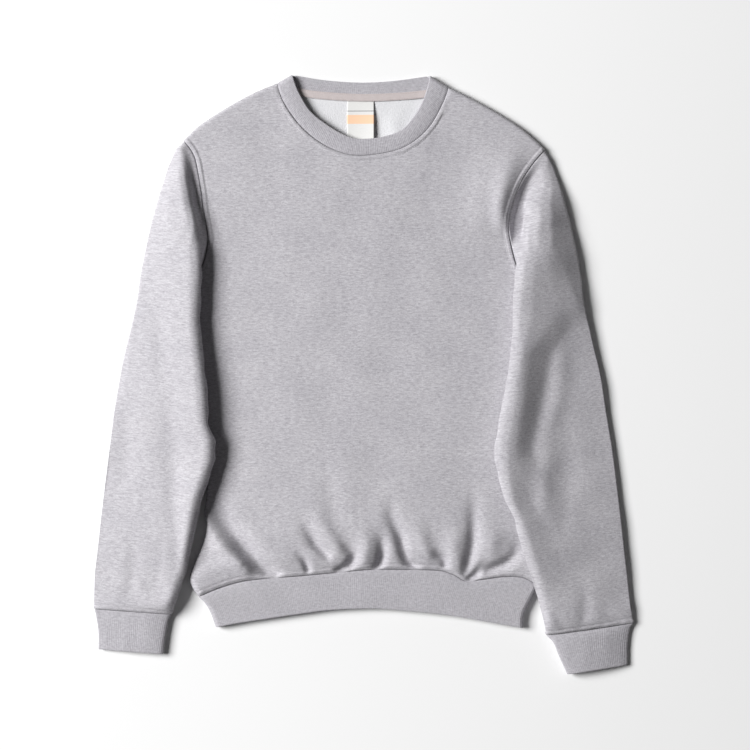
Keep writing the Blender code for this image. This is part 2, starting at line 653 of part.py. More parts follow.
def ribs_along(loop, faces_up):
    """How many ribs each stretch of a loop takes, none where that side rests on the table."""
    lengths = np.linalg.norm(np.roll(loop, -1, axis=0) - loop, axis=1)
    return [int(round(length / RIB_PITCH)) if up else 0 for length, up in zip(lengths, faces_up)]


# ---------------------------------------------------------------- trims inside the neck

def slab(name, low, thickness, material):
    """A strip of cloth on a grid of points, with its thickness upward."""
    high = low + np.array([0, 0, thickness])
    rows, columns = low.shape[:2]
    count = rows * columns
    points = np.vstack([low.reshape(-1, 3), high.reshape(-1, 3)])
    faces = grid_faces(low, False)
    faces += [[count + v for v in face[::-1]] for face in grid_faces(low, False)]
    index = np.arange(count).reshape(rows, columns)
    rim = np.concatenate([index[0, :], index[1:, -1], index[-1, -2::-1], index[-2:0:-1, 0]])
    for a, b in zip(rim, np.roll(rim, -1)):
        faces.append([b, a, count + a, count + b])
    return make_object(name, points, faces, material)


def neck_tape(material):
    """Tape over the back neck seam, on the collar's edge and the panel's."""
    shares = np.linspace(*TAPE_ENDS, 15)
    centre = spline(BACK_NECK)(shares)
    run = np.gradient(centre, axis=0)
    side = np.column_stack([-run[:, 1], run[:, 0]]) / np.linalg.norm(run, axis=1)[:, None]
    rows = [np.column_stack([centre + side * offset, np.full(len(centre), TAPE_HEIGHT)])
            for offset in (-TAPE_HALF_WIDTH, TAPE_HALF_WIDTH)]
    return slab("neck_tape", np.array(rows), TAPE_CLOTH, material)


def neck_label(material):
    """Label held under the tape, with its lower end loose."""
    width, length = LABEL_SIZE
    down = np.linspace(0, 1, 7)
    across = np.linspace(-0.5, 0.5, 3)
    rows = []
    for d in down:
        z = FLEECE + 0.35 + LABEL_LIFT * d ** 1.6
        rows.append([(LABEL_TOP[0] + a * width, LABEL_TOP[1] - d * length, z) for a in across])
    return slab("label", np.array(rows), LABEL_CLOTH, material)


# ---------------------------------------------------------------- assembly

def make_material(name):
    color, roughness = MATERIALS[name]
    material = bpy.data.materials.new(name)
    material.use_nodes = True
    shader = material.node_tree.nodes["Principled BSDF"]
    shader.inputs["Base Color"].default_value = color
    shader.inputs["Roughness"].default_value = roughness
    shader.inputs["Metallic"].default_value = 0.0
    return material


def center_on_table(objects):
    """Move the garment so that its origin is under the middle of its outline."""
    corners = np.array([v.co for obj in objects for v in obj.data.vertices])
    middle = (corners.min(axis=0) + corners.max(axis=0)) / 2
    for obj in objects:
        for vertex in obj.data.vertices:
            vertex.co.x -= middle[0]
            vertex.co.y -= middle[1]


def build():
    for obj in list(bpy.data.objects):
        bpy.data.objects.remove(obj)

    front, back = front_skin(), back_skin()
    hem = hem_skin(front, back)
    below = front[:, :SIDE_ROWS + 2]
    body = np.vstack([below.reshape(-1, 3), hem.reshape(-1, 3)])
    body_faces = grid_faces(below, False) + grid_faces(hem, True, below.shape[0] * below.shape[1])
    support = BVHTree.FromPolygons([tuple(p) for p in body], body_faces)
    sleeves = {side: sleeve_skin(front, back, side, support) for side in ("left", "right")}
    cuffs = {side: cuff_skin(sleeves[side], side) for side in ("left", "right")}
    collar = collar_skin(front, back)

    skins = ((front, False, -1), (back, False, 1), (hem, True, -1), (collar, True, 1),
             (sleeves["left"], True, -1), (sleeves["right"], True, 1),
             (cuffs["left"], True, -1), (cuffs["right"], True, 1))
    normals = skin_normals(skins[:4]) + skin_normals(skins[4::2]) + skin_normals(skins[5::2])
    front_normals, back_normals, hem_normals, collar_normals = normals[:4]
    sleeve_normals = {"left": normals[4], "right": normals[6]}
    cuff_normals = {"left": normals[5], "right": normals[7]}
    for side, edge in (("left", 0), ("right", -1)):
        share_armhole_edge(front_normals, back_normals, edge, sleeve_normals[side][0])

    fleece, rib = make_material("fleece"), make_material("rib")
    parts = [panel_solid("front", front, front_normals, fleece),
             panel_solid("back", back, back_normals, fleece)]
    for side in ("left", "right"):
        parts.append(tube_solid("sleeve_" + side, sleeves[side], sleeve_normals[side], fleece))

    count = len(hem[0])
    up = [k < front.shape[0] - 1 for k in range(count)]
    parts.append(band_solid("hem_band", hem, hem_normals, ribs_along(hem[2], up), [0] * count, rib))
    count = len(collar[0])
    up = [k < FRONT_NECK_COLUMNS for k in range(count)]
    parts.append(band_solid("collar", collar, collar_normals, ribs_along(collar[2], up),
                            ribs_along(collar[2], [not u for u in up]), rib))
    for side, cuff in cuffs.items():
        count = len(cuff[0])
        up = [k < ARMHOLE_ROWS for k in range(count)]
        parts.append(band_solid("cuff_" + side, cuff, cuff_normals[side], ribs_along(cuff[1], up),
                                [0] * count, rib))
    parts.append(neck_tape(make_material("tape")))
    parts.append(neck_label(make_material("label")))
    center_on_table(parts)


build()
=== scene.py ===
"""Crewneck sweatshirt laid flat on its back: marl fleece, rib knit bands, tape, label, stitching.

The sections follow the garment as it is sewn. Tables and sizes are in millimetres, with X to
the right, Y towards the neck and Z up; left and right are the viewer's.
"""
import math

import bmesh
import bpy
import numpy as np
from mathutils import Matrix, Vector
from mathutils.bvhtree import BVHTree


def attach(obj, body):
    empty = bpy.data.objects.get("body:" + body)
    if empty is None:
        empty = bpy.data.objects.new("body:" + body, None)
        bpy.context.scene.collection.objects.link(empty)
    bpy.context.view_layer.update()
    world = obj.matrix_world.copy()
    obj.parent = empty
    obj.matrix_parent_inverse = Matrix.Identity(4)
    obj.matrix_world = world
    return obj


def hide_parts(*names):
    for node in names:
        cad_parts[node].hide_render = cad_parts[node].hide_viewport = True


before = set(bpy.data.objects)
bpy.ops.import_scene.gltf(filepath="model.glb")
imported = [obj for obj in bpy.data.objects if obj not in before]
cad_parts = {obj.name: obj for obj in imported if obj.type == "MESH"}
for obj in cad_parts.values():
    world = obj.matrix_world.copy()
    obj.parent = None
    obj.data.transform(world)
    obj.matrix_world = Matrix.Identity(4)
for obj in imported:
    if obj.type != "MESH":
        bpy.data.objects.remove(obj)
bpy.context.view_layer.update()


# ---------------------------------------------------------------- body panels
# Front and back are cut from brushed fleece, a plain jersey outside with a soft pile inside.
# They join over the shoulders and down the sides, where the cloth folds over; the front is
# fuller than the hem band that it is gathered into.

MM = 0.001
MIDDLE = 0.51           # x of the garment's middle in the tables
FLEECE = 1.6            # its thickness
SEAM_GAP = 0.3          # between two pieces
FOLD_HEIGHT = 6.0       # of the side and shoulder folds over the table
FRONT_ROLL = (4.5, 11.0)        # least and greatest radius of the front's folds
FLAT_ROLL = 6.0         # radius of the other folds
FRONT_LOWEST = 7.0      # the gathers' furrows go no lower
EDGE_FADE = 3           # how fast the curves of hem and neckline fade over a panel
NECK_SPREAD = 60        # how fast the neckline's fine columns spread out below it
FRONT_COLUMNS = (40, 110)       # of a shoulder and of the neckline
BACK_COLUMNS = (28, 52)
SIDE_ROWS = 118
BACK_CLOTH = 900        # how far along the cloth the back is cut from the front

# First rows beside a seam, as distances from it: they hold its groove, turning and stitch line
SEAM_STEPS = (0.6, 1.3, 2.1, 3.2, 4.5, 5.5, 6.4, 7.3, 8.8, 11.0)
SEAM_TURNING = 6.4      # width of the turnings that the cover stitch holds down
SEAM_ROWS = (1.6, 6.4)  # its two needle rows, from the seam
SEAM_GROOVE, SEAM_RIDGE, SEAM_LINE = 0.7, 0.9, 0.45     # how deep, high and deep they are
GROOVE_WIDTH = 0.8      # of the groove and of the stitch line
ARMHOLE_SPLIT = 6       # rows of cloth for each of the sleeve's guide points
ARMHOLE_POINTS = 11     # steps of them from the shoulder to the underarm
ARMHOLE_ROWS = ARMHOLE_SPLIT * ARMHOLE_POINTS

HEM_SEAM = ((-210, -284), (-189, -275), (-165, -267), (-138, -262), (-77, -257), (-13, -251),
            (17, -249), (91, -250), (114, -255), (132, -264), (152, -262), (184, -258),
            (206, -260), (224, -270))
SIDE_SEAM = {"left": ((-210, -284), (-219, -270), (-221, -255), (-206, -220), (-200, -196),
                      (-203, -177), (-200, -155), (-202, -103), (-214, -33), (-229, 31),
                      (-243, 89)),
             "right": ((224, -270), (229, -256), (228, -238), (223, -216), (219, -190),
                       (218, -162), (220, -103), (227, -33), (234, 31), (243, 89))}
FRONT_ARMHOLE = {"left": ((-243, 89), (-219, 113), (-204, 144), (-198, 172), (-200, 191),
                          (-204, 212), (-206, 231), (-213, 271), (-219, 286), (-229, 299)),
                 "right": ((243, 89), (216, 108), (198, 136), (190, 162), (186, 190),
                           (191, 217), (201, 243), (216, 267), (233, 287))}
BACK_ARMHOLE = {"left": ((-243, 89), (-229, 111), (-219, 140), (-214, 172), (-215, 204),
                         (-218, 236), (-222, 268), (-229, 299)),
                "right": ((243, 89), (229, 111), (219, 140), (214, 172), (214, 204),
                          (216, 236), (224, 267), (233, 287))}
SHOULDER = {"left": ((-229, 299), (-209, 318), (-177, 339), (-141, 359), (-110, 372)),
            "right": ((233, 287), (220, 300), (198, 318), (164, 339), (127, 359), (110, 367))}
FRONT_NECK = ((-110, 372), (-100, 346), (-81, 319), (-57, 298), (-32, 285), (-10, 280),
              (15, 281), (44, 287), (67, 299), (87, 319), (102, 346), (110, 367))
BACK_NECK = ((-110, 372), (-81, 361), (-41, 356), (5, 354), (51, 356), (86, 360), (110, 367))

# Height of the front's middle, by distance up from the hem seam
FRONT_PROFILE = ((0, 11), (8, 16), (25, 21), (60, 23), (120, 20), (220, 17.5), (350, 16),
                 (450, 13.5), (520, 12), (600, 11))
SIDE_SHARE = (0.4, 0.72)        # of it that is left at the left and right sides

# Gathers over the hem band and drag lines: half width, depth (a crest is negative), x, y ...
FRONT_FOLDS = (
    (10.0, 13.0, ((-193, -157), (-179, -185), (-157, -212), (-137, -236), (-113, -255))),
    (10.0, -8.0, ((-208, -168), (-195, -198), (-176, -224), (-150, -247))),
    (6.0, 8.0, ((-77, -188), (-67, -205), (-58, -218), (-45, -230))),
    (4.5, 6.0, ((-87, -225), (-74, -238), (-70, -250))),
    (9.0, -3.5, ((-66, -170), (-46, -200), (-30, -222))),
    (5.5, 9.5, ((-26, -214), (-12, -230), (-20, -245), (-32, -251))),
    (9.0, -4.0, ((-5, -190), (4, -215), (2, -240))),
    (5.5, 9.5, ((23, -203), (25, -225), (22, -241), (16, -250))),
    (6.5, 9.0, ((35, -165), (38, -186), (47, -205), (55, -234), (67, -246))),
    (10.0, -4.0, ((62, -178), (72, -205), (84, -230))),
    (5.5, 6.0, ((88, -225), (102, -234), (105, -243))),
    (11.0, -4.0, ((118, -185), (116, -215), (118, -242))),
    (7.0, 7.0, ((141, -150), (141, -200), (138, -226), (131, -252))),
    (5.5, 10.0, ((157, -241), (144, -255), (132, -269))),
    (12.0, -3.5, ((166, -190), (164, -225))),
    (6.5, 8.0, ((197, -210), (195, -228), (184, -240), (160, -250))),
    (14.0, 2.0, ((-50, -90), (-43, -140), (-36, -185))),
    (12.0, -8.0, ((199, 288), (189, 264), (181, 240), (176, 215), (177, 194))),
    (26.0, -5.0, ((184, 290), (170, 262), (160, 235), (156, 205))),
)
# The back lies on the table, so its folds only stand up from it, into the body
BACK_FOLDS = (
    (9.0, -3.0, ((-150, -262), (-120, -225), (-80, -200))),
    (8.0, -2.5, ((-20, -250), (-12, -215), (-24, -180))),
    (10.0, -3.0, ((80, -250), (96, -210), (90, -165))),
    (12.0, -2.0, ((60, 320), (100, 270), (150, 240))),
    (9.0, -1.6, ((-72, 336), (-52, 318), (-46, 290))),
    (10.0, -1.8, ((52, 340), (40, 322), (44, 296))),
)

HELD_UP = (222, 28, 150)        # the front stays up by its right armhole: y, spread, from x
FINE_SIDE = 373.0               # length of a side seam, by which its first rows are set
ROUTE_POINTS = 40               # along a fold
SIDES = ("left", "right")


def unit(value):
    """The value, held between 0 and 1."""
    return np.clip(value, 0, 1)


def bell(distance, width, power=2):
    """1 at no distance, falling away over the width."""
    return np.exp(-(distance / width) ** power)


def directions(vectors):
    """The vectors, each made one long."""
    return vectors / np.linalg.norm(vectors, axis=-1, keepdims=True)


def travelled(points, axis=0):
    """Distance along a line of points, or along each line of a grid."""
    steps = np.linalg.norm(np.diff(points, axis=axis), axis=-1)
    return np.insert(np.cumsum(steps, axis=axis), 0, 0.0, axis=axis)


def curved(before, here, ahead, beyond, t):
    """Between here and ahead, on the smooth curve that passes through all four."""
    return 0.5 * (2 * here + (ahead - before) * t
                  + (2 * before - 5 * here + 4 * ahead - beyond) * t ** 2
                  + (3 * here - before - 3 * ahead + beyond) * t ** 3)


def spline(points):
    """A smooth curve through the points: a function from 0..1, by length, to places on it."""
    knots = np.array(points, float)
    ends = np.vstack([2 * knots[0] - knots[1], knots, 2 * knots[-1] - knots[-2]])
    dense = [curved(*ends[k:k + 4], t) for k in range(len(knots) - 1)
             for t in np.linspace(0, 1, 16, endpoint=False)]
    dense = np.array(dense + [knots[-1]])
    length = travelled(dense)

    def at(share):
        where = np.asarray(share, float) * length[-1]
        return np.stack([np.interp(where, length, dense[:, k]) for k in range(2)], axis=-1)

    at.length = length[-1]
    return at


def eased(count):
    """Shares 0..1 in count steps, crowded towards both ends."""
    k = np.arange(count + 1) / count
    return 0.4 * k + 0.6 * (1 - np.cos(math.pi * k)) / 2


def seam_shares(count, length, both=True):
    """Shares 0..1 in count steps, of which the first, or both the first and last, hold a seam."""
    fine = np.array(SEAM_STEPS) / length
    if not both:
        rest = np.linspace(fine[-1], 1, count - len(fine) + 1)
        return np.concatenate([[0.0], fine[:-1], rest])
    rest = np.linspace(fine[-1], 1 - fine[-1], count - 2 * len(fine) + 1)
    return np.concatenate([[0.0], fine[:-1], rest, 1 - fine[-2::-1], [1.0]])


def roll(distance, radius):
    """0 on a fold and 1 where the cloth lies flat, along a quarter circle."""
    near = unit(1 - np.asarray(distance, float) / radius)
    return np.sqrt(1 - near ** 2)


def along_chord(points):
    """Where each point lies along the chord of a line, and how far above it."""
    share = (points[:, 0] - points[0, 0]) / (points[-1, 0] - points[0, 0])
    return share, points[:, 1] - points[0, 1] - share * (points[-1, 1] - points[0, 1])


def distance_to(curve, x, y, steps=400):
    """How far each place is from a curve drawn on the cloth."""
    line = curve(np.linspace(0, 1, steps))
    nearest = np.full(np.shape(x), 1e9)
    for a, b in zip(line[:-1], line[1:]):
        run = b - a
        share = unit(((x - a[0]) * run[0] + (y - a[1]) * run[1]) / (run @ run + 1e-12))
        gap = np.hypot(x - a[0] - share * run[0], y - a[1] - share * run[1])
        nearest = np.minimum(nearest, gap)
    return nearest


def fold_relief(x, y, folds):
    """Height that the folds add: each is a soft furrow or ridge that fades at its ends."""
    relief = np.zeros(np.shape(x))
    for half_width, depth, points in folds:
        route = spline(points)(np.linspace(0, 1, ROUTE_POINTS))
        low, high = route.min(axis=0) - 3 * half_width, route.max(axis=0) + 3 * half_width
        near = (x > low[0]) & (x < high[0]) & (y > low[1]) & (y < high[1])
        gap = np.hypot(x[near][:, None] - route[:, 0], y[near][:, None] - route[:, 1])
        place = gap.argmin(axis=1) / (ROUTE_POINTS - 1)
        fade = unit(0.12 + 1.5 * place) * unit(0.75 + 3 * (1 - place))
        relief[near] -= depth * fade * bell(gap.min(axis=1), half_width * (1.35 - 0.5 * place))
    return relief


def unevenness(x, y, size, seed):
    """Low, slow swells of cloth that nobody has ironed, about size millimetres across."""
    chance = np.random.default_rng(seed)
    swell = np.zeros(np.shape(x))
    for _ in range(9):
        bearing, phase = chance.uniform(0, 2 * math.pi, 2)
        length = size * chance.uniform(0.7, 2.0)
        along = x * math.cos(bearing) + y * math.sin(bearing)
        swell += np.sin(along * 2 * math.pi / length + phase)
    return swell / 4.0


def seam_relief(distance, wander):
    """Across a covered seam: the dark groove, the turnings' low ridge, and the sunk stitch line."""
    ridge = bell(distance - 0.55 * SEAM_TURNING, 2.3, 4) * (1 + 0.35 * wander)
    return (SEAM_RIDGE * ridge - SEAM_GROOVE * bell(distance, GROOVE_WIDTH)
            - SEAM_LINE * bell(distance - SEAM_TURNING, GROOVE_WIDTH))


def panel_plan(neck, armholes, shoulder_columns, neck_columns):
    """Plan of a body panel, columns by rows, with the distances to its own edges."""
    left_shoulder, right_shoulder = spline(SHOULDER["left"]), spline(SHOULDER["right"][::-1])
    neck_curve, hem = spline(neck), spline(HEM_SEAM)
    shoulder = seam_shares(shoulder_columns, left_shoulder.length, both=False)
    neck_shares = seam_shares(neck_columns, neck_curve.length)
    top, even_top = (np.vstack([left_shoulder(shoulder), neck_curve(shares)[1:],
                                right_shoulder(1 - shoulder[::-1])[1:]])
                     for shares in (neck_shares, np.linspace(0, 1, neck_columns + 1)))
    bottom_shares = seam_shares(len(top) - 1, hem.length)
    low = seam_shares(SIDE_ROWS, FINE_SIDE, both=False)[:-1]
    left, right = (np.vstack([spline(SIDE_SEAM[side])(low),
                              spline(armholes[side])(eased(ARMHOLE_ROWS))]) for side in SIDES)

    # Rows run from side to side; the hem's and the neckline's own curves fade away from them
    eta = travelled(left) + travelled(right)
    eta /= eta[-1]
    fade = (1 - eta) ** EDGE_FADE, eta ** EDGE_FADE, eta ** NECK_SPREAD
    low_share, low_rise = along_chord(hem(bottom_shares))
    high_share, high_rise = (np.outer(even, 1 - fade[2]) + np.outer(fine, fade[2])
                             for even, fine in zip(along_chord(even_top), along_chord(top)))
    share = (np.outer(low_share, 1 - eta) + high_share * eta)[..., None]
    plan = (1 - share) * left + share * right
    plan[..., 1] += np.outer(low_rise, fade[0]) + high_rise * fade[1]

    from_left, from_hem = travelled(plan), travelled(plan, 1)
    open_rows = np.zeros(len(left))
    armhole_length = spline(armholes["left"]).length
    run = eased(ARMHOLE_ROWS) * armhole_length
    open_rows[-ARMHOLE_ROWS - 1:] = roll(np.minimum(run, armhole_length - run), 2 * FLAT_ROLL)
    open_columns = np.zeros(len(top))
    run = neck_shares * neck_curve.length
    open_columns[shoulder_columns:shoulder_columns + neck_columns + 1] = roll(
        np.minimum(run, neck_curve.length - run), FLAT_ROLL)
    edges = ((from_left, open_rows[None, :]), (from_left[-1] - from_left, open_rows[None, :]),
             (from_hem[:, -1:] - from_hem, open_columns[:, None]))
    return plan, edges, from_hem, bottom_shares, neck_shares


def rise(edges, radius):
    """How far the cloth has risen from the panel's folds, 0 to 1; it stays open elsewhere."""
    risen = 1.0
    for distance, openness in edges:
        risen = risen * (openness + (1 - openness) * roll(distance, radius))
    return risen


def covered_seams(x, y, neck, armholes, wander):
    """Relief of the panel's covered seams, and how far each place is from each."""
    lines = {"hem": HEM_SEAM, "neck": neck, **armholes}
    away = {name: distance_to(spline(line), x, y) for name, line in lines.items()}
    return sum(seam_relief(gap, wander) for gap in away.values()), away


def raised(skin, height):
    """The skin with this height added to it."""
    return skin + np.dstack([0 * height, 0 * height, height])


front_plan, front_edges, front_from_hem, front_shares, front_neck_shares = panel_plan(
    FRONT_NECK, FRONT_ARMHOLE, *FRONT_COLUMNS)
front_x, front_y = front_plan[..., 0], front_plan[..., 1]
middle = np.interp(front_from_hem, *np.array(FRONT_PROFILE, float).T)
spread = np.abs(2 * front_shares[:, None] - 1) ** 2.5 * unit(front_from_hem / 40.0)
side_share = np.where(front_shares < 0.5, *SIDE_SHARE)[:, None]
domed = FOLD_HEIGHT + (middle - FOLD_HEIGHT) * (1 - (1 - side_share) * spread)
gathers = fold_relief(front_x, front_y, FRONT_FOLDS) * unit(front_from_hem / 5.0)
gathers += 0.45 * unevenness(front_x, front_y, 60, 3) * unit(front_from_hem / 30.0)
front_seams, front_away = covered_seams(front_x, front_y, FRONT_NECK, FRONT_ARMHOLE,
                                        unevenness(front_x, front_y, 14, 5))
front_risen = rise(front_edges, np.clip(domed - FOLD_HEIGHT, *FRONT_ROLL))
held_y, held_spread, held_x = HELD_UP
front_risen = np.maximum(front_risen, bell(front_y - held_y, held_spread) * (front_x > held_x))
front_z = FOLD_HEIGHT + (np.maximum(domed + gathers, FRONT_LOWEST) - FOLD_HEIGHT) * front_risen
front_smooth = np.dstack([front_plan, front_z])
front_skin = raised(front_smooth, front_seams * front_risen)

back_plan, back_edges, _, back_shares, back_neck_shares = panel_plan(
    BACK_NECK, BACK_ARMHOLE, *BACK_COLUMNS)
back_x, back_y = back_plan[..., 0], back_plan[..., 1]
back_seams, _ = covered_seams(back_x, back_y, BACK_NECK, BACK_ARMHOLE, 0.0)
back_risen = rise(back_edges, FLAT_ROLL)
stands_up = fold_relief(back_x, back_y, BACK_FOLDS) + 0.3 * (1 + unevenness(back_x, back_y, 50, 8))
back_z = FOLD_HEIGHT * (1 - back_risen) + np.clip(stands_up, 0, None) * back_risen
back_smooth = np.dstack([back_plan, back_z])
back_skin = raised(back_smooth, unit(-back_seams) * back_risen)


def grid_faces(rows, columns, closed):
    """Quads of a grid of points; closed joins the last column to the first."""
    r, c = np.meshgrid(np.arange(rows - 1), np.arange(columns if closed else columns - 1),
                       indexing="ij")
    n = (c + 1) % columns
    return np.stack([r * columns + c, r * columns + n, (r + 1) * columns + n,
                     (r + 1) * columns + c], axis=-1).reshape(-1, 4)


def outward(grid, closed, passes=2):
    """Unit normals of a skin, away from its middle, a little smoothed."""
    across = (np.roll(grid, -1, axis=1) - np.roll(grid, 1, axis=1) if closed
              else np.gradient(grid, axis=1))
    normals = np.cross(across, np.gradient(grid, axis=0))
    centre = grid.mean(axis=1, keepdims=True) if closed else grid.mean(axis=(0, 1))
    for _ in range(passes + 1):
        normals /= np.linalg.norm(normals, axis=2, keepdims=True) + 1e-12
        padded = np.pad(normals, ((1, 1), (0, 0), (0, 0)), mode="edge")
        padded = np.pad(padded, ((0, 0), (1, 1), (0, 0)), mode="wrap" if closed else "edge")
        normals = (2 * padded[1:-1, 1:-1] + padded[:-2, 1:-1] + padded[2:, 1:-1]
                   + padded[1:-1, :-2] + padded[1:-1, 2:]) / 6
    normals /= np.linalg.norm(normals, axis=2, keepdims=True) + 1e-12
    return normals if (normals * (grid - centre)).sum() > 0 else -normals


def new_object(name, data):
    made = bpy.data.objects.new(name, data)
    bpy.context.scene.collection.objects.link(made)
    return made


def new_mesh(name, points, edges, faces):
    """A mesh from points in the tables' millimetres."""
    mesh = bpy.data.meshes.new(name)
    mesh.from_pydata(((points - (MIDDLE, 0, 0)) * MM).tolist(), edges, faces)
    return mesh


def make_piece(name, points, faces, materials, across, along):
    """A closed piece of cloth; the attribute cut says where each point was on the cut cloth.

    A second material is for the faces between points of the last half, the cloth's inner face.
    """
    mesh = new_mesh(name, points, [], faces.tolist())
    shell = bmesh.new()
    shell.from_mesh(mesh)
    bmesh.ops.recalc_face_normals(shell, faces=shell.faces[:])
    shell.to_mesh(mesh)
    shell.free()
    for material in materials:
        mesh.materials.append(material)
    cut = np.column_stack([np.ravel(across) * MM, np.ravel(along) * MM, np.zeros(len(points))])
    if len(materials) > 1:
        inner = len(points) // 2
        cut[inner:, 2] = 0.5
        mesh.polygons.foreach_set("material_index", (faces.min(axis=1) >= inner).astype(np.int32))
    mesh.attributes.new("cut", "FLOAT_VECTOR", "POINT").data.foreach_set("vector", cut.ravel())
    mesh.shade_smooth()
    return new_object(name, mesh)


def layered(name, near, far, closed, materials, across, along):
    """A closed piece from the two faces of its cloth, each a grid of points."""
    rows, columns = near.shape[:2]
    index = np.arange(rows * columns).reshape(rows, columns)
    rims = [index[0], index[-1]] if closed else [np.concatenate(
        [index[0, :], index[1:, -1], index[-1, -2::-1], index[-2:0:-1, 0]])]
    skin = grid_faces(rows, columns, closed)
    faces = [skin, index.size + skin[:, ::-1]]
    for rim in rims:
        ahead = np.roll(rim, -1)
        faces.append(np.stack([ahead, rim, index.size + rim, index.size + ahead], axis=-1))
    return make_piece(name, np.vstack([near.reshape(-1, 3), far.reshape(-1, 3)]),
                      np.vstack(faces), materials, np.tile(np.ravel(across), 2),
                      np.tile(np.ravel(along), 2))


def fleece_piece(name, skin, smooth, closed, across, along):
    """A panel or tube of fleece: its outer face, its brushed inner face, and its cut edges."""
    outer = skin.copy()
    for rim, near in ((0, 1), (-1, -2)):
        outer[rim] += directions(skin[near] - skin[rim]) * SEAM_GAP / 2
        if not closed:
            outer[:, rim] += directions(skin[:, near] - skin[:, rim]) * SEAM_GAP / 2
    inner = smooth + (outer - skin) - FLEECE * outward(smooth, closed)
    return layered(name, outer, inner, closed, (fleece, pile), across, along)


def link(tree, kind, inputs=(), **settings):
    """A shader or geometry node with its inputs, each a value or another node's output."""
    made = tree.nodes.new(kind)
    for key, value in settings.items():
        setattr(made, key, value)
    for key, value in dict(inputs).items():
        socket = made.inputs[key]
        if isinstance(value, bpy.types.NodeSocket):
            tree.links.new(value, socket)
        else:
            socket.default_value = value
    return made


def reckoned(tree, kind, *values):
    """A node that does sums."""
    return link(tree, "ShaderNodeMath", dict(enumerate(values)), operation=kind).outputs[0]


def cloth_material(name, roughness, sheen, sheen_roughness=0.6):
    """A cloth's shader, its gloss and sheen set on its own sockets, and the place on the cut."""
    material = bpy.data.materials.new(name)
    material.use_nodes = True
    tree = material.node_tree
    shader = tree.nodes["Principled BSDF"]
    shader.inputs["Roughness"].default_value = roughness
    shader.inputs["Specular IOR Level"].default_value = 0.22
    shader.inputs["Sheen Weight"].default_value = sheen
    shader.inputs["Sheen Roughness"].default_value = sheen_roughness
    cut = link(tree, "ShaderNodeAttribute", attribute_name="cut")
    return material, tree, shader, cut.outputs["Vector"]


def stretched(tree, place, across, along, layer):
    """The place, scaled so that one unit is 1/across by 1/along by 1/layer metres."""
    return link(tree, "ShaderNodeVectorMath", {0: place, 1: (across, along, layer)},
                operation="MULTIPLY").outputs[0]


def noise(tree, place, across, along, detail=2.0, roughness=0.5, distortion=0.0, layer=60.0):
    return link(tree, "ShaderNodeTexNoise",
                {"Vector": stretched(tree, place, across, along, layer), "Scale": 1.0,
                 "Detail": detail, "Roughness": roughness, "Distortion": distortion}).outputs["Fac"]


def ramp(tree, value, *stops):
    made = link(tree, "ShaderNodeValToRGB", {"Fac": value})
    while len(made.color_ramp.elements) < len(stops):
        made.color_ramp.elements.new(0.5)
    for element, (place, colour) in zip(made.color_ramp.elements, stops):
        element.position = place
        element.color = (*colour, 1.0)
    return made.outputs["Color"]


def mixed(tree, kind, amount, first, second):
    return link(tree, "ShaderNodeMix", {0: amount, 6: first, 7: second},
                data_type="RGBA", blend_type=kind).outputs[2]


def toned(tree, colour, amount, value, *stops):
    """The colour, made darker and lighter with the value."""
    return mixed(tree, "MULTIPLY", amount, colour, ramp(tree, value, *stops))


def surfaced(tree, shader, colour, height, strength, distance):
    """Give the shader its colour and its small relief."""
    tree.links.new(colour, shader.inputs["Base Color"])
    bump = link(tree, "ShaderNodeBump", {"Height": height, "Strength": strength,
                                         "Distance": distance})
    tree.links.new(bump.outputs["Normal"], shader.inputs["Normal"])


def marl_fleece(name, pale, mid, dark):
    """Grey marl: pale and dark fibres spun together, drawn out into short flecks."""
    material, tree, shader, cut = cloth_material(name, 0.92, 0.14)
    slubs = noise(tree, cut, 150.0, 560.0, 3.0, 0.62, 0.6)
    flecks = noise(tree, cut, 480.0, 1100.0, 2.0, 0.6)
    clouds = noise(tree, cut, 17.0, 26.0)
    colour = ramp(tree, slubs, (0.30, dark), (0.50, mid), (0.70, pale))
    colour = toned(tree, colour, 0.8, flecks, (0.28, (0.74, 0.74, 0.75)), (0.50, (1.0, 1.0, 1.0)),
                   (0.74, (1.16, 1.16, 1.16)))
    colour = toned(tree, colour, 1.0, clouds, (0.3, (0.95, 0.95, 0.955)),
                   (0.7, (1.04, 1.04, 1.035)))
    wales = link(tree, "ShaderNodeTexWave", {"Vector": stretched(tree, cut, 1000.0, 0.0, 0.0),
                                             "Scale": 0.32, "Distortion": 0.0},
                 bands_direction="X").outputs["Fac"]
    height = reckoned(tree, "MULTIPLY", flecks, 0.7)
    height = reckoned(tree, "MULTIPLY_ADD", slubs, 0.8, height)
    height = reckoned(tree, "MULTIPLY_ADD", wales, 0.12, height)
    surfaced(tree, shader, colour, height, 0.5, 0.0007)
    return material


def brushed_pile(name):
    """The inside of the fleece: a paler brushed pile, matt, with no knit to be seen."""
    material, tree, shader, cut = cloth_material(name, 1.0, 0.5, 0.7)
    fuzz = noise(tree, cut, 420.0, 420.0, 4.0, 0.65)
    drift = noise(tree, cut, 40.0, 60.0, 3.0, 0.55)
    colour = ramp(tree, fuzz, (0.25, (0.70, 0.70, 0.72)), (0.75, (0.83, 0.83, 0.85)))
    colour = toned(tree, colour, 0.5, drift, (0.3, (0.93, 0.93, 0.94)), (0.7, (1.0, 1.0, 1.0)))
    surfaced(tree, shader, colour, fuzz, 0.7, 0.0012)
    return material


fleece = marl_fleece("marl_fleece", (0.60, 0.59, 0.62), (0.50, 0.485, 0.515), (0.385, 0.37, 0.40))
pile = brushed_pile("brushed_pile")

front_piece = fleece_piece("front_panel", front_skin, front_smooth, False, front_x, front_y)
back_piece = fleece_piece("back_panel", back_skin, back_smooth, False, back_x,
                          back_y + BACK_CLOTH)


# ---------------------------------------------------------------- hem band
# A tube of rib knit folded double along its lower edge, sewn to both panels under a cover
# stitch. It is shorter than they are, so it draws them in, and its ribs run up and down.

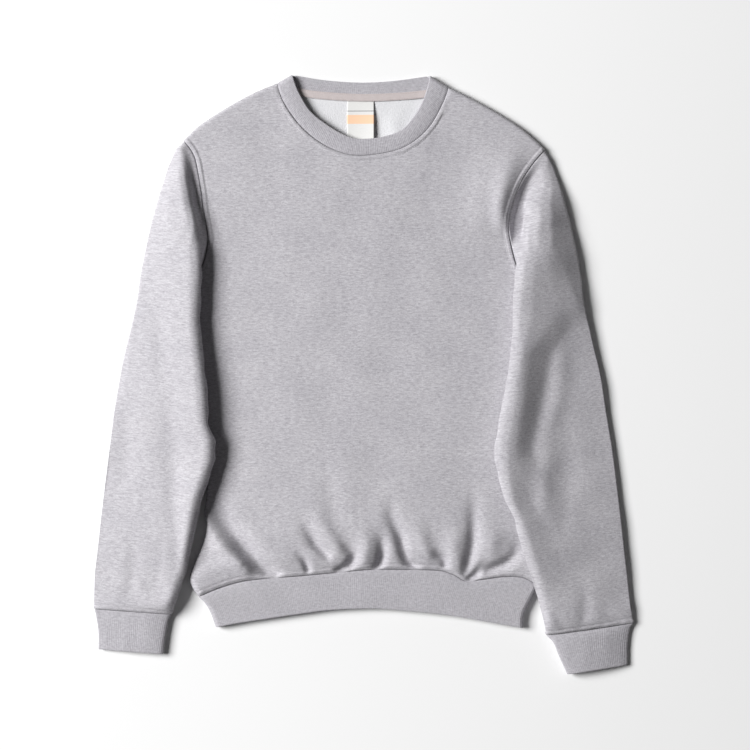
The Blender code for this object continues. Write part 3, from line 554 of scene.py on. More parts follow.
RIB_KNIT = 3.0          # thickness of both layers
BAND_TOP = 12.0         # height of the front of a band
RIB_WIDTH = 2.3         # from one rib to the next
RIB_COLUMNS = 4         # of cloth to a rib
RIB_RELIEF = 0.3
RIBS_HELD = (0.15, 0.35, 0.75)  # share of the relief in the rows next to a band's seams
FOLD_FACES = 6          # round a band's folded edge
BAND_SUNK, BAND_GROOVE = 0.7, 1.1       # depth and width of the groove where it is sewn on
HEM_SWELL, CUFF_SWELL = 0.35, 0.25      # of their unevenness
HEM_EDGE = ((-188, -323), (-155, -317), (-88, -307), (-42, -301), (8, -299), (47, -301),
            (113, -308), (165, -317), (205, -324))
HEM_SIDES = {"left": ((-210, -284), (-202, -292), (-195, -304), (-188, -323)),
             "right": ((224, -270), (218, -282), (208, -301), (205, -311), (205, -324))}
BAND_ROWS = (0.0, 0.012, 0.03, 0.055, 0.09, 0.14, 0.22, 0.35, 0.5, 0.65, 0.8, 0.9, 0.96, 1.0)


def rib_count(length):
    return int(round(length / RIB_WIDTH))


def rib_shares(ribs):
    """Shares 0..1 along cloth with this many ribs."""
    return np.arange(ribs * RIB_COLUMNS + 1) / (ribs * RIB_COLUMNS)


def there_and_back(front, back):
    """A ring from the front's points and the back's, which start and end at the same places."""
    return np.concatenate([front, back[-2:0:-1]])


def bowed(curve, share):
    """A curve less its own chord, to be laid between two other ends."""
    return curve(share) - np.outer(1 - share, curve(0.0)) - np.outer(share, curve(1.0))


def set_in(skin, normals, groove, swell=0.0):
    """A band's skin with the groove of its seam sunk into it."""
    sunk = bell(travelled(skin).mean(axis=1), BAND_GROOVE)[:, None] * groove
    return skin + (swell - sunk)[..., None] * normals


def folded_band(name, skin, normals, ribs):
    """A band of two layers, closed round the body: skin runs from its seam to its folded edge."""
    half = RIB_KNIT / 2
    outer = skin.copy()
    outer[0] += directions(skin[1] - skin[0]) * SEAM_GAP / 2
    reach = directions(skin[-1] - skin[-2])
    run = np.linalg.norm(skin[-1] - skin[-2], axis=1, keepdims=True)
    outer[-1] -= reach * np.minimum(half, 0.7 * run)
    turn = [outer[-1] + half * ((math.cos(a) - 1) * normals[-1] + math.sin(a) * reach)
            for a in np.linspace(0, math.pi, FOLD_FACES + 1)[1:-1]]
    rings = np.concatenate([outer, turn, (outer - RIB_KNIT * normals)[::-1]])
    rows, columns = rings.shape[:2]
    first = np.arange(columns)
    last = first + (rows - 1) * columns
    faces = np.vstack([grid_faces(rows, columns, True),
                       np.stack([first, np.roll(first, -1), np.roll(last, -1), last], axis=-1)])
    width = np.linalg.norm(np.roll(skin[-1], -1, axis=0) - skin[-1], axis=1).sum()
    across = np.abs(np.linspace(-1, 1, columns, endpoint=False)) * width / 2
    piece = make_piece(name, rings.reshape(-1, 3), faces, (rib_cloth,), np.tile(across, rows),
                       np.repeat(travelled(rings).mean(axis=1), columns))
    held = np.ones(rows)
    held[:3], held[-3:] = RIBS_HELD, RIBS_HELD[::-1]
    for key, values in (("rib", np.tile(first * ribs / columns, rows)),
                        ("held", np.repeat(held, columns))):
        piece.data.attributes.new(key, "FLOAT", "POINT").data.foreach_set("value", values)
    return through_tree(piece, RIB_TREE, {"Relief": RIB_RELIEF * MM, "Material": rib_cloth})


def new_tree(name, inputs):
    """An empty Geometry Nodes tree with its named inputs: name, kind."""
    tree = bpy.data.node_groups.new(name, "GeometryNodeTree")
    for label, kind in (("Geometry", "Geometry"), *inputs):
        tree.interface.new_socket(label, in_out="INPUT", socket_type="NodeSocket" + kind)
    tree.interface.new_socket("Geometry", in_out="OUTPUT", socket_type="NodeSocketGeometry")
    return tree, tree.nodes.new("NodeGroupInput").outputs, tree.nodes.new("NodeGroupOutput").inputs


def finished(tree, geometry, material, result):
    """End a tree: its instances are made real and take its material."""
    real = link(tree, "GeometryNodeRealizeInstances", {"Geometry": geometry})
    dyed = link(tree, "GeometryNodeSetMaterial", {"Geometry": real.outputs[0],
                                                  "Material": material})
    tree.links.new(dyed.outputs[0], result["Geometry"])
    return tree


def through_tree(piece, tree, values):
    """The piece remade by a Geometry Nodes tree with these input values, as a plain mesh."""
    modifier = piece.modifiers.new(tree.name, "NODES")
    modifier.node_group = tree
    for socket in tree.interface.items_tree:
        if socket.item_type == "SOCKET" and socket.in_out == "INPUT" and socket.name in values:
            modifier[socket.identifier] = values[socket.name]
    bpy.context.view_layer.update()
    evaluated = piece.evaluated_get(bpy.context.evaluated_depsgraph_get())
    made = bpy.data.meshes.new_from_object(evaluated)
    made.name = piece.name
    piece.modifiers.remove(modifier)
    piece.data = made
    return piece


def rib_tree():
    """Sinks a furrow between each rib and the next, into the cloth."""
    tree, given, result = new_tree("rib_knit", (("Relief", "Float"), ("Material", "Material")))
    rib, held = (link(tree, "GeometryNodeInputNamedAttribute", {"Name": key},
                      data_type="FLOAT").outputs[0] for key in ("rib", "held"))
    wave = reckoned(tree, "COSINE", reckoned(tree, "MULTIPLY", rib, 2 * math.pi))
    depth = reckoned(tree, "MULTIPLY_ADD", wave, -0.5, 0.5)
    for factor in (held, given["Relief"], -1.0):
        depth = reckoned(tree, "MULTIPLY", depth, factor)
    normal = link(tree, "GeometryNodeInputNormal").outputs[0]
    offset = link(tree, "ShaderNodeVectorMath", {0: normal, "Scale": depth}, operation="SCALE")
    moved = link(tree, "GeometryNodeSetPosition", {"Geometry": given["Geometry"],
                                                   "Offset": offset.outputs[0]})
    return finished(tree, moved.outputs[0], given["Material"], result)


RIB_TREE = rib_tree()


def rib_material(name, pale, mid, dark):
    """Rib knit of the same marl yarn, closer and a little darker than the fleece."""
    material, tree, shader, cut = cloth_material(name, 0.9, 0.2)
    yarn = noise(tree, cut, 260.0, 420.0, 3.0, 0.6, 0.2)
    flecks = noise(tree, cut, 700.0, 1100.0, 2.0, 0.55)
    drift = noise(tree, cut, 24.0, 30.0)
    colour = ramp(tree, yarn, (0.30, dark), (0.50, mid), (0.72, pale))
    colour = toned(tree, colour, 0.6, flecks, (0.3, (0.84, 0.84, 0.85)), (0.7, (1.1, 1.1, 1.1)))
    colour = toned(tree, colour, 1.0, drift, (0.3, (0.96, 0.96, 0.96)), (0.7, (1.03, 1.03, 1.03)))
    surfaced(tree, shader, colour, reckoned(tree, "MULTIPLY_ADD", flecks, 0.8, yarn), 0.5, 0.0006)
    return material


rib_cloth = rib_material("marl_rib", (0.55, 0.54, 0.57), (0.465, 0.45, 0.48), (0.375, 0.36, 0.39))

hem_edge, hem_seam = spline(HEM_EDGE), spline(HEM_SEAM)
hem_left, hem_right = (spline(HEM_SIDES[side]) for side in SIDES)
hem_ribs = rib_count(hem_edge.length)
hem_share = rib_shares(hem_ribs)
hem_round = there_and_back(hem_share, hem_share)
hem_is_front = np.arange(len(hem_round)) < len(hem_share)
hem_seam_z = there_and_back(np.interp(hem_share, front_shares, front_smooth[:, 0, 2]),
                            np.interp(hem_share, back_shares, back_smooth[:, 0, 2]))
hem_flat = roll(np.minimum(hem_round, 1 - hem_round) * hem_edge.length, FLAT_ROLL)
hem_rings = []
for down in BAND_ROWS:
    plan = (np.outer(1 - hem_round, hem_left(down)) + np.outer(hem_round, hem_right(down))
            + (1 - down) * bowed(hem_seam, hem_round) + down * bowed(hem_edge, hem_round))
    swell = HEM_SWELL * unevenness(plan[:, 0], plan[:, 1], 45, 12) * down * (1 - down) * 4
    band_z = np.where(hem_is_front, FOLD_HEIGHT + (BAND_TOP + swell - FOLD_HEIGHT) * hem_flat,
                      FOLD_HEIGHT * (1 - hem_flat))
    settle = 1 - (1 - min(down / 0.2, 1.0)) ** 2
    hem_rings.append(np.column_stack([plan, hem_seam_z + (band_z - hem_seam_z) * settle]))
hem_skin = np.array(hem_rings)
hem_normals = outward(hem_skin, True)
hem_piece = folded_band("hem_band_rib", set_in(hem_skin, hem_normals, BAND_SUNK), hem_normals,
                        2 * hem_ribs)


# ---------------------------------------------------------------- sleeves
# Each sleeve is one piece of the same fleece, closed by a seam under the arm and set into the
# armhole. It lies half on the body and half on the table, folded along both of its sides.

REST_GAP = 1.8          # of the sleeve over the body
REST_REACH = (0.0, 5.0, 10.0, 15.0, 20.0)       # how far round a point the body is felt for
REST_EDGE, REST_SLOPE = 7.0, 0.75       # reach from which the sleeve may drape, and its slope
INNER_FOLD = 5.5        # half the height of the fold over the body
SLEEVE_HEAD = 9         # guide rings that are smoothed
SLEEVE_PASSES = 8       # of smoothing, for the guide rings
CLOTH_PASSES = 3        # and for the cloth
LAP_PLACE, LAP_SPREAD = 0.38, 0.10      # of the front's lap, as shares of the way round
BACK_RELEASE = 2.5      # over 1, the back lets go of the armhole's curve sooner
SLEEVE_STEP = 3.2       # of the cloth's rows down the sleeve
HEAD_REACH = 60.0       # how far the head's finer rows run
CREST_LEAN = 1.75       # over 1, the sleeve is highest near its inner fold
NOTHING = -100.0        # the height of the body's top where there is none
EDGE_STEP = 6.0         # between the levels at which a fold is drawn to its line
LAP_PASSES = 3          # of drawing the inner fold to its line
TOP_BLUR = (-1.5, -0.5, 0.5, 1.5)       # a table's height is the mean at these places
OUTER_SOFTNESS = 30.0   # how far in from the outer fold the cloth gives
LAP_SOFTNESS = 48.0     # how far out from the inner fold it gives as it laps over
LAP_START = 178.0       # y below which the sleeve laps over the body
TURN_START = 163.0      # y below which the cloth turns back under its own lap
TURN_HEIGHT, TURN_BACK = 16.0, 8.0      # of the cloth that is turned back, and how far it goes
PUFF = {"right": (203, 21.0, 4.0)}      # a roll that hangs over: y, distance out, how far
ARM_GROOVE = 0.6        # depth of the armhole's groove on the sleeve
CROSS_CLOTH = {"left": 2000, "right": 3000}     # where across the cloth each sleeve is cut

# Where the sleeve's inner fold lies, over the body and then beside it
INNER_EDGE = {
    "left": ((-229, 299), (-219, 286), (-213, 271), (-208, 251), (-205.5, 231), (-203, 205),
             (-202.5, 180), (-203.5, 159), (-203.5, 125), (-206, 70), (-202, 27), (-197, -17),
             (-194.5, -61), (-187, -84), (-187, -108), (-194.5, -136), (-203.5, -161),
             (-212.5, -200), (-224, -253), (-234, -282), (-243, -305)),
    "right": ((233, 287), (216, 267), (201, 243), (191, 217), (187, 190), (190.5, 167), (194, 149),
              (190.5, 108), (189.5, 57), (185.5, 19), (179, -20), (171.5, -58), (166.5, -90),
              (166.5, -109), (171.5, -135), (179, -161), (190.5, -186), (201, -223), (214.5, -263),
              (220, -281), (229, -314), (233, -331)),
}
# Where its outer fold lies
OUTER_EDGE = {
    "left": ((-233, 298), (-242, 287), (-251, 267), (-260, 236), (-271, 195), (-280, 154),
             (-289, 113), (-297, 72), (-305, 31), (-312, -10), (-319, -51), (-324, -92),
             (-334, -173), (-343, -255), (-344, -296)),
    "right": ((235, 285), (239, 277), (245, 267), (256, 236), (266, 195), (275, 154), (283, 113),
              (290.5, 72), (298, 31), (306, -10), (312, -51), (319, -92), (329, -173), (338, -255),
              (344, -310)),
}

# Heights of the sleeve's upper side: y, then distances out from its inner edge with the height
# there. At the head they cross the hollow beside the armhole before they reach the crest.
SLEEVE_TOP = {
    "left": ((287, 0, 10.5, 5, 10, 9, 11.5, 12, 12, 16, 10.5, 19, 9, 22, 6.5),
             (251, 0, 10, 8, 6.5, 12, 13, 18, 22, 26, 22.5, 36, 16, 47, 7),
             (221, 0, 10, 6, 6.5, 9.5, 14, 15, 25, 24, 28, 44, 20, 62, 7),
             (190, 0, 10.5, 2.5, 12, 6, 24, 11, 31, 20, 32, 45, 23, 75, 7),
             (159, 0, 27, 3, 32, 8, 34.5, 17, 35, 43, 26, 70, 13, 78, 7),
             (98, 0, 30, 3, 34.5, 8, 37.5, 14, 38.5, 45, 27, 82, 13, 92, 7),
             (36, 0, 31, 3, 35.5, 8, 39, 14, 40, 50, 28, 94, 13, 105, 7),
             (-25, 0, 33, 3, 37.5, 8, 40.5, 15, 41, 55, 28.5, 108, 13, 119, 7),
             (-86, 0, 34, 3, 38, 8, 41, 14, 41, 45, 30, 85, 22, 139, 7),
             (-148, 0, 29, 3, 33.5, 8, 37.5, 14, 39.5, 45, 28, 85, 19, 131, 7),
             (-209, 0, 24, 3, 29, 7, 33, 12, 34.5, 40, 25, 85, 17, 125, 7),
             (-271, 0, 17, 3, 21, 8, 24.5, 12, 25.5, 35, 19, 80, 14, 115, 7)),
    "right": ((270, 0, 9, 3, 8.5, 7, 9, 12, 9.5, 16, 9.5, 20, 8, 24, 6),
              (239, 0, 8, 4, 5, 11, 4.2, 22, 8, 32, 12.5, 42, 13, 58, 7),
              (218, 0, 8, 5, 4, 14.5, 3.4, 18.5, 15, 33, 21.5, 47, 20.5, 74, 7.5),
              (198, 0, 9, 4, 6, 22, 3, 26.5, 21, 38, 27.5, 52, 25, 80, 7.5),
              (177, 0, 8.5, 5, 4.5, 15, 4, 19.5, 26, 34, 31, 52, 27, 84, 7.5),
              (160, 0, 14, 3, 18, 9, 27, 17, 33, 32, 34, 46, 31, 86, 7.5),
              (147, 0, 28, 3, 31, 12, 36.5, 24, 37, 42, 33, 58, 25.5, 88, 7),
              (85, 0, 33, 3, 35.5, 9, 38.5, 24, 37, 60, 26, 86, 17, 102, 7.5),
              (24, 0, 34, 3, 36.5, 8, 39.5, 15, 41, 23, 38, 54, 20, 118, 8),
              (-38, 0, 34, 3, 36.5, 8, 39.5, 17, 41, 27, 38.5, 51, 23, 140, 8),
              (-99, 0, 33.5, 3, 36, 8, 39, 18, 40.5, 29, 37.5, 50, 25, 157, 8),
              (-161, 0, 31, 3, 33.5, 7, 36, 12, 37, 35, 29.5, 85, 20, 151, 8),
              (-222, 0, 28, 3, 31, 8, 34, 14, 35, 45, 26.5, 85, 18.5, 138, 8),
              (-283, 0, 17, 3, 20, 8, 23.5, 14, 24.5, 40, 21.5, 80, 16, 125, 8)),
}

# Guide rings: outer x, y, inner x, y, outer fold height, inner fold height, crown height,
# share of the armhole's own curve, lap of the front over the body
SLEEVE_RINGS = {
    "left": (
        (-229, 299, -243, 89, 5.5, 5.5, 12, 1.0, 0),
        (-236, 293, -257, 80, 6.5, 11, 24, 0.88, 4),
        (-246, 277, -263, 70, 7, 16, 32, 0.74, 15),
        (-256, 250, -264, 60, 7, 20, 37, 0.58, 24),
        (-264, 220, -260, 50, 7, 22, 40, 0.4, 30),
        (-272, 187, -251, 40, 7, 22, 41, 0.22, 31),
        (-281, 150, -237, 30, 7, 22, 41, 0.08, 24),
        (-290, 110, -222, 18, 7, 22, 41, 0.0, 12),
        (-299, 65, -210, 5, 7, 21, 40, 0.0, 4),
        (-308, 20, -202, -12, 7, 21, 39, 0.0, 0),
        (-315, -25, -198, -34, 7, 21, 38, 0.0, 0),
        (-321, -70, -192, -60, 7, 21, 37, 0.0, 0),
        (-327, -115, -187, -97, 7, 20, 36, 0.0, 0),
        (-333, -160, -197, -148, 7, 18, 35, 0.0, 0),
        (-338, -205, -209, -197, 7, 14, 34, 0.0, 0),
        (-342, -245, -221, -241, 7, 12, 32, 0.0, 0),
        (-344, -275, -232, -275, 6.5, 10, 27, 0.0, 0),
        (-344, -292, -240, -296, 6, 8, 20, 0.0, 0),
        (-343, -300, -244, -306, 6, 6.5, 13, 0.0, 0),
    ),
    "right": (
        (233, 287, 243, 89, 5.5, 5.5, 12, 1.0, 0),
        (238, 279, 257, 80, 6.5, 11, 23, 0.88, 4),
        (246, 262, 263, 70, 6.5, 16, 29, 0.74, 17),
        (255, 238, 264, 60, 7, 20, 34, 0.58, 28),
        (263, 208, 260, 50, 7, 22, 37, 0.42, 37),
        (271, 172, 253, 41, 7, 22, 38, 0.25, 41),
        (279, 136, 242, 31, 7, 22, 39, 0.1, 38),
        (287, 95, 228, 18, 7, 22, 39, 0.0, 28),
        (295, 50, 212, 3, 7, 21, 39, 0.0, 18),
        (302, 5, 197, -17, 7, 21, 38, 0.0, 10),
        (309, -40, 182, -45, 7, 21, 38, 0.0, 4),
        (315, -80, 168, -78, 7, 22, 37, 0.0, 0),
        (322, -125, 171, -120, 7, 22, 36, 0.0, 0),
        (328, -170, 184, -165, 7, 21, 35, 0.0, 0),
        (333, -215, 198, -212, 7, 20, 34, 0.0, 0),
        (338, -255, 212, -256, 7, 18, 32, 0.0, 0),
        (342, -288, 224, -297, 6.5, 12, 27, 0.0, 0),
        (344, -306, 231, -320, 6, 8, 20, 0.0, 0),
        (345, -318, 234, -333, 6, 6.5, 13, 0.0, 0),
    ),
}
SLEEVE_FOLDS = {
    "left": (
        (10.0, 3.0, ((-242, 20), (-245, -60), (-241, -140), (-237, -200), (-236, -262))),
        (11.0, 1.8, ((-262, 120), (-258, 60), (-255, 0))),
        (12.0, 1.8, ((-296, 10), (-300, -60), (-304, -130))),
        (9.0, 1.6, ((-300, -180), (-292, -230), (-296, -276))),
        (5.0, 1.6, ((-322, -272), (-300, -280), (-285, -290))),
        (6.0, -1.4, ((-318, -262), (-290, -268), (-268, -282))),
    ),
    "right": (
        (11.0, -2.2, ((243, 90), (251, 40), (250, -20), (240, -60))),
        (11.0, -2.5, ((237, -50), (233, -110), (230, -165))),
        (13.0, 1.6, ((262, -40), (262, -120), (256, -190))),
        (6.0, 1.8, ((302, -292), (312, -306), (326, -312))),
        (6.0, 1.8, ((238, -300), (252, -318), (262, -330))),
        (7.0, 1.8, ((278, -262), (284, -292), (280, -318))),
    ),
}


def ring(row):
    """A flattened tube section: over the top from the outer fold, and back underneath."""
    outer_x, outer_y, inner_x, inner_y, outer_z, inner_z, crown, _, lap = row
    place = np.arange(2 * ARMHOLE_POINTS) / (2 * ARMHOLE_POINTS)
    turn = 2 * math.pi * place
    share = (1 - np.cos(turn)) / 2
    fold_z = outer_z + (inner_z - outer_z) * share
    over = unit(np.sin(math.pi * unit(turn / math.pi) ** CREST_LEAN)) ** 0.75
    under = unit(1.12 * np.abs(np.clip(np.sin(turn), -1, 0)) ** 0.6)
    lapped_over = math.copysign(lap, -outer_x) * bell(place - LAP_PLACE, LAP_SPREAD)
    return np.column_stack([outer_x + (inner_x - outer_x) * share + lapped_over,
                            outer_y + (inner_y - outer_y) * share,
                            fold_z * (1 - over) * (1 - under) + crown * over])


def rest_on(points, reaches):
    """Lift points that would sink into the body, or come too close to it."""
    lifted = points.copy()
    height = np.sin(2 * math.pi * np.arange(len(points)) / len(points))
    stands = REST_GAP + INNER_FOLD * (1 + np.sign(height) * np.abs(height) ** 0.6)
    for point, stand in zip(lifted, stands):
        for reach in reaches:
            for bearing in np.arange(12 if reach else 1) * math.pi / 6:
                below = top_under(support, point[0] + reach * math.cos(bearing),
                                  point[1] + reach * math.sin(bearing))
                drape = REST_SLOPE * max(0.0, reach - REST_EDGE)
                point[2] = max(point[2], below + stand - drape)
    return lifted


def smoothed(rings):
    """Each point of a tube moved halfway to the middle of its four neighbours."""
    round_it = (np.roll(rings, 1, axis=1) + np.roll(rings, -1, axis=1)) / 2
    along = rings.copy()
    along[1:-1] = (rings[:-2] + rings[2:]) / 2
    return rings / 2 + (round_it + along) / 4


def armhole_loop(side, step=1):
    """The armhole's ring: shoulder, down the front to the underarm, and up the back."""
    edge = 0 if side == "left" else -1
    front, back = (panel[edge, -ARMHOLE_ROWS - 1::step] for panel in (front_smooth, back_smooth))
    return np.vstack([front[::-1], back[1:-1]])


def guide_rings(side):
    """The sleeve as guide rings, resting on the table and on the body's side."""
    rows = SLEEVE_RINGS[side]
    armhole = armhole_loop(side, ARMHOLE_SPLIT)
    pull = armhole - ring(rows[0])
    rings = [armhole]
    for number, row in enumerate(rows[1:], start=1):
        held = np.full(len(pull), row[-2])
        held[ARMHOLE_POINTS + 1:] **= BACK_RELEASE
        points = ring(row) + held[:, None] * pull
        points[:, 2] = np.maximum(points[:, 2], 0)
        rings.append(rest_on(points, REST_REACH[:number]))
    rings = np.array(rings)
    for _ in range(SLEEVE_PASSES):
        rings[1:SLEEVE_HEAD] = smoothed(rings)[1:SLEEVE_HEAD]
    for number in range(1, len(rings) - 1):
        rings[number] = rest_on(rings[number], REST_REACH[:min(number, 2)])
    return rings


def loft(rings, places, stations):
    """A smooth tube through the guide rings, at places round it (0..1) and stations along it."""
    count = rings.shape[1]
    where = places * count
    k = np.floor(where).astype(int)
    t = (where - k)[None, :, None]
    rounded = curved(*(rings[:, (k + shift) % count] for shift in (-1, 0, 1, 2)), t)
    ends = np.concatenate([[2 * rounded[0] - rounded[1]], rounded, [2 * rounded[-1] - rounded[-2]]])
    k = np.minimum(np.floor(stations).astype(int), len(rings) - 2)
    t = (stations - k)[:, None, None]
    return curved(*(ends[k + shift] for shift in (0, 1, 2, 3)), t)


def top_under(surface, x, y):
    """Height of the body's top under a place, or far below where there is none."""
    hit = surface.ray_cast(Vector((x, y, 200.0)), Vector((0, 0, -1)))[0]
    return hit.z if hit else NOTHING


def heights_over(skin):
    """Height of the body's top under each point of a skin."""
    return np.array([top_under(body_top, x, y) for x, y in skin[..., :2].reshape(-1, 2)]
                    ).reshape(skin.shape[:2])


def levelled(values, count):
    """The mean of each value and its neighbours, count in all."""
    padded = np.pad(values, count // 2, mode="edge")
    return np.convolve(padded, np.ones(count) / count, mode="valid")


def drawn_to(skin, line, sign, fade, softness, reached):
    """Shift cloth along x until its edge on the side of sign follows a line; inside it gives."""
    edge_x, edge_y = np.array(line[::-1], float).T
    x, y = skin[..., 0], skin[..., 1]
    levels = np.arange(math.ceil(y.min() / EDGE_STEP) * EDGE_STEP, y.max(), EDGE_STEP)
    reach = []
    for level in levels:
        band = np.abs(y - level) < EDGE_STEP
        free = band & (reached > 0.5)
        reach.append((sign * x[free if free.any() else band]).max())
    reach = levelled(np.array(reach), 5)
    shift = (sign * np.interp(levels, edge_y, edge_x) - reach) * fade(levels, edge_y[0])
    give = bell(np.clip(np.interp(y, levels, reach) - sign * x, 0, None), softness)
    return skin + np.dstack([sign * np.interp(y, levels, shift) * give * reached, 0 * x, 0 * x])


def lapped(skin, side, from_armhole):
    """Draw the sleeve's folds to their own lines: the outer one, then the one over the body."""
    def outer_fade(level, low):
        return unit((level - low) / 20)

    def inner_fade(level, low):
        return unit((LAP_START - level) / 12) * unit((level - low - 5) / 20)

    sign = 1 if side == "left" else -1
    skin = drawn_to(skin, OUTER_EDGE[side], -sign, outer_fade, OUTER_SOFTNESS,
                    unit(from_armhole / 8))
    above = unit((skin[..., 2] - np.maximum(heights_over(skin), 0) - 1) / 6)
    for _ in range(LAP_PASSES):
        skin = drawn_to(skin, INNER_EDGE[side], sign, inner_fade, LAP_SOFTNESS,
                        above * unit(from_armhole / 14) ** 0.8)
    return skin


def topped(skin, side, places, from_armhole, from_cuff):
    """Give the sleeve's upper side the heights of its table, let in from both of its seams."""
    sign = 1 if side == "left" else -1
    edge_x, edge_y = np.array(INNER_EDGE[side][::-1], float).T
    table = np.array(SLEEVE_TOP[side][::-1], float)
    out = sign * (np.interp(skin[..., 1], edge_y, edge_x) - skin[..., 0])
    knots = [np.interp(skin[..., 1], table[:, 0], column) for column in table.T[1:]]
    height = 0.0
    for blur in TOP_BLUR:
        height = height + knots[1] / len(TOP_BLUR)
        for from_out, from_z, to_out, to_z in zip(*(knots[k::2] for k in range(4))):
            share = unit((out + blur - from_out) / (to_out - from_out))
            height += (to_z - from_z) / len(TOP_BLUR) * share
    upper = unit(7 * np.sin(2 * math.pi * places)) * unit(from_armhole / 6) * unit(from_cuff / 22)

    # Past the cloth that reaches furthest over the body, the rest turns back under it
    column, half = np.arange(len(places)), len(places) // 2
    below = skin[..., 1] < TURN_START
    low = (column < half) & below
    inmost = levelled(np.argmin(np.where(low, out, 1e3), axis=1).astype(float), 9)[:, None]
    past = np.where(below, np.clip(column - inmost, 0, None), 0)
    folded = (1 - bell(past, 2.0)) * unit(from_armhole / 16)
    height = np.where(low & (out < 10), np.maximum(height, skin[:, half:half + 1, 2] + 2), height)
    height -= folded * np.clip(height - TURN_HEIGHT, 0, None)
    skin[..., 2] += (height - skin[..., 2]) * upper
    skin[..., 0] -= sign * np.clip(TURN_BACK - out, 0, None) * folded
    if side in PUFF:
        level, lip_out, amount = PUFF[side]
        over = np.exp(-((skin[..., 1] - level) / 26) ** 2 - np.clip(lip_out - out, 0, None) ** 2 / 3
                      - np.clip(out - lip_out, 0, None) ** 2 / 140)
        skin[..., 0] += sign * amount * over * upper
    return skin


def rested(skin, from_armhole):
    """Lift what would sink into the body's front or the table."""
    under = heights_over(skin)
    clear = np.clip(from_armhole / 15, 0.2, 1) * (REST_GAP + 0.4)
    touching = (under > NOTHING / 2) & (from_armhole > 2.5)
    lifted = np.maximum(skin[..., 2], under + clear + FLEECE)
    skin[..., 2] = np.maximum(np.where(touching, lifted, skin[..., 2]), 0)
    return skin


def evenly(rings, step):
    """Stations along the guide rings, about one step apart, finer at the head and both seams."""
    reach = travelled(rings).mean(axis=1)
    fine = np.array(SEAM_STEPS)
    last = reach[-1] - fine[-1]
    at = np.concatenate([[0.0], fine[:-1], np.arange(fine[-1], HEAD_REACH, step / 2),
                         np.linspace(HEAD_REACH, last, int((last - HEAD_REACH) / step)),
                         reach[-1] - fine[-2::-1], [reach[-1]]])
    return np.interp(at, reach, np.arange(len(rings)))


def body_surface(front):
    """The body's front and its hem band, for rays from above."""
    hem = hem_skin[:, ::RIB_COLUMNS]
    faces = np.vstack([grid_faces(*front.shape[:2], False),
                       front[..., 0].size + grid_faces(*hem.shape[:2], True)])
    return BVHTree.FromPolygons(np.vstack([front.reshape(-1, 3), hem.reshape(-1, 3)]).tolist(),
                                faces.tolist())


support = body_surface(front_smooth[::2, :SIDE_ROWS + ARMHOLE_SPLIT + 1])
body_top = body_surface(front_smooth[::2, ::2])

sleeve_ends, sleeve_skins, sleeve_pieces, sleeve_away = {}, {}, {}, {}
for seed, side in enumerate(SIDES, start=21):
    guides = guide_rings(side)
    places = np.arange(2 * ARMHOLE_ROWS) / (2 * ARMHOLE_ROWS)
    stations = evenly(guides, SLEEVE_STEP)
    skin = loft(guides, places, stations)
    skin += unit(1 - stations / 1.5)[:, None, None] ** 2 * (armhole_loop(side) - skin[0])
    away = travelled(skin)
    skin = topped(lapped(skin, side, away), side, places, away, away[-1] - away)
    upward = unit(1.6 * outward(skin, True)[..., 2])
    soft = fold_relief(skin[..., 0], skin[..., 1], SLEEVE_FOLDS[side])
    soft += 0.5 * unevenness(skin[..., 0], skin[..., 1], 70, seed)
    skin[..., 2] += soft * upward * unit(away / 14) * unit((away[-1] - away) / 16)
    skin = rested(skin, away)
    for _ in range(CLOTH_PASSES):
        skin[1:-1] = smoothed(skin)[1:-1]
    normals = outward(skin, True)
    away = travelled(skin)
    seams = (seam_relief(away[-1] - away, unevenness(skin[..., 0], skin[..., 1], 14, 31))
             - ARM_GROOVE * bell(away, GROOVE_WIDTH))
    grooved = skin + (seams * (normals[..., 2] > -0.3))[..., None] * normals
    grooved[..., 2] = np.maximum(grooved[..., 2], 0)
    down = directions(guides[-1].mean(axis=0)[:2] - guides[4].mean(axis=0)[:2])
    along = skin[..., 0] * down[0] + skin[..., 1] * down[1]
    across = skin[..., 0] * down[1] - skin[..., 1] * down[0] + 0.6 * skin[..., 2]
    sleeve_ends[side], sleeve_skins[side], sleeve_away[side] = guides[-1], grooved, away
    sleeve_pieces[side] = fleece_piece("sleeve_" + side + "_fleece", grooved, skin, True,
                                       across + CROSS_CLOTH[side], along)


# ---------------------------------------------------------------- cuffs
# A short tube of the hem's rib knit, folded double at the wrist, which gathers in the end of
# the sleeve. The seam is covered as at the hem.

CUFF_RINGS = {
    "left": ((-341, -308, -248, -314, 6.0, 6.0, 12.5, 0.0, 0),
             (-338, -328, -252, -334, 6.0, 6.0, 12.5, 0.0, 0),
             (-338, -351, -255, -357, 6.0, 6.0, 12.0, 0.0, 0)),
    "right": ((341, -326, 243, -342, 5.0, 11.0, 16.0, 0.0, 0),
              (338, -347, 250, -359, 5.0, 11.0, 16.0, 0.0, 0),
              (338, -371, 261, -383, 5.0, 10.0, 15.0, 0.0, 0)),
}
GIRTH_PLACES = 720      # round a wrist, to measure it
CUFF_STATIONS = (0.0, 0.08, 0.18, 0.32, 0.5, 0.75, 1.0, 1.4, 1.8, 2.2, 2.55, 2.8, 2.93, 3.0)

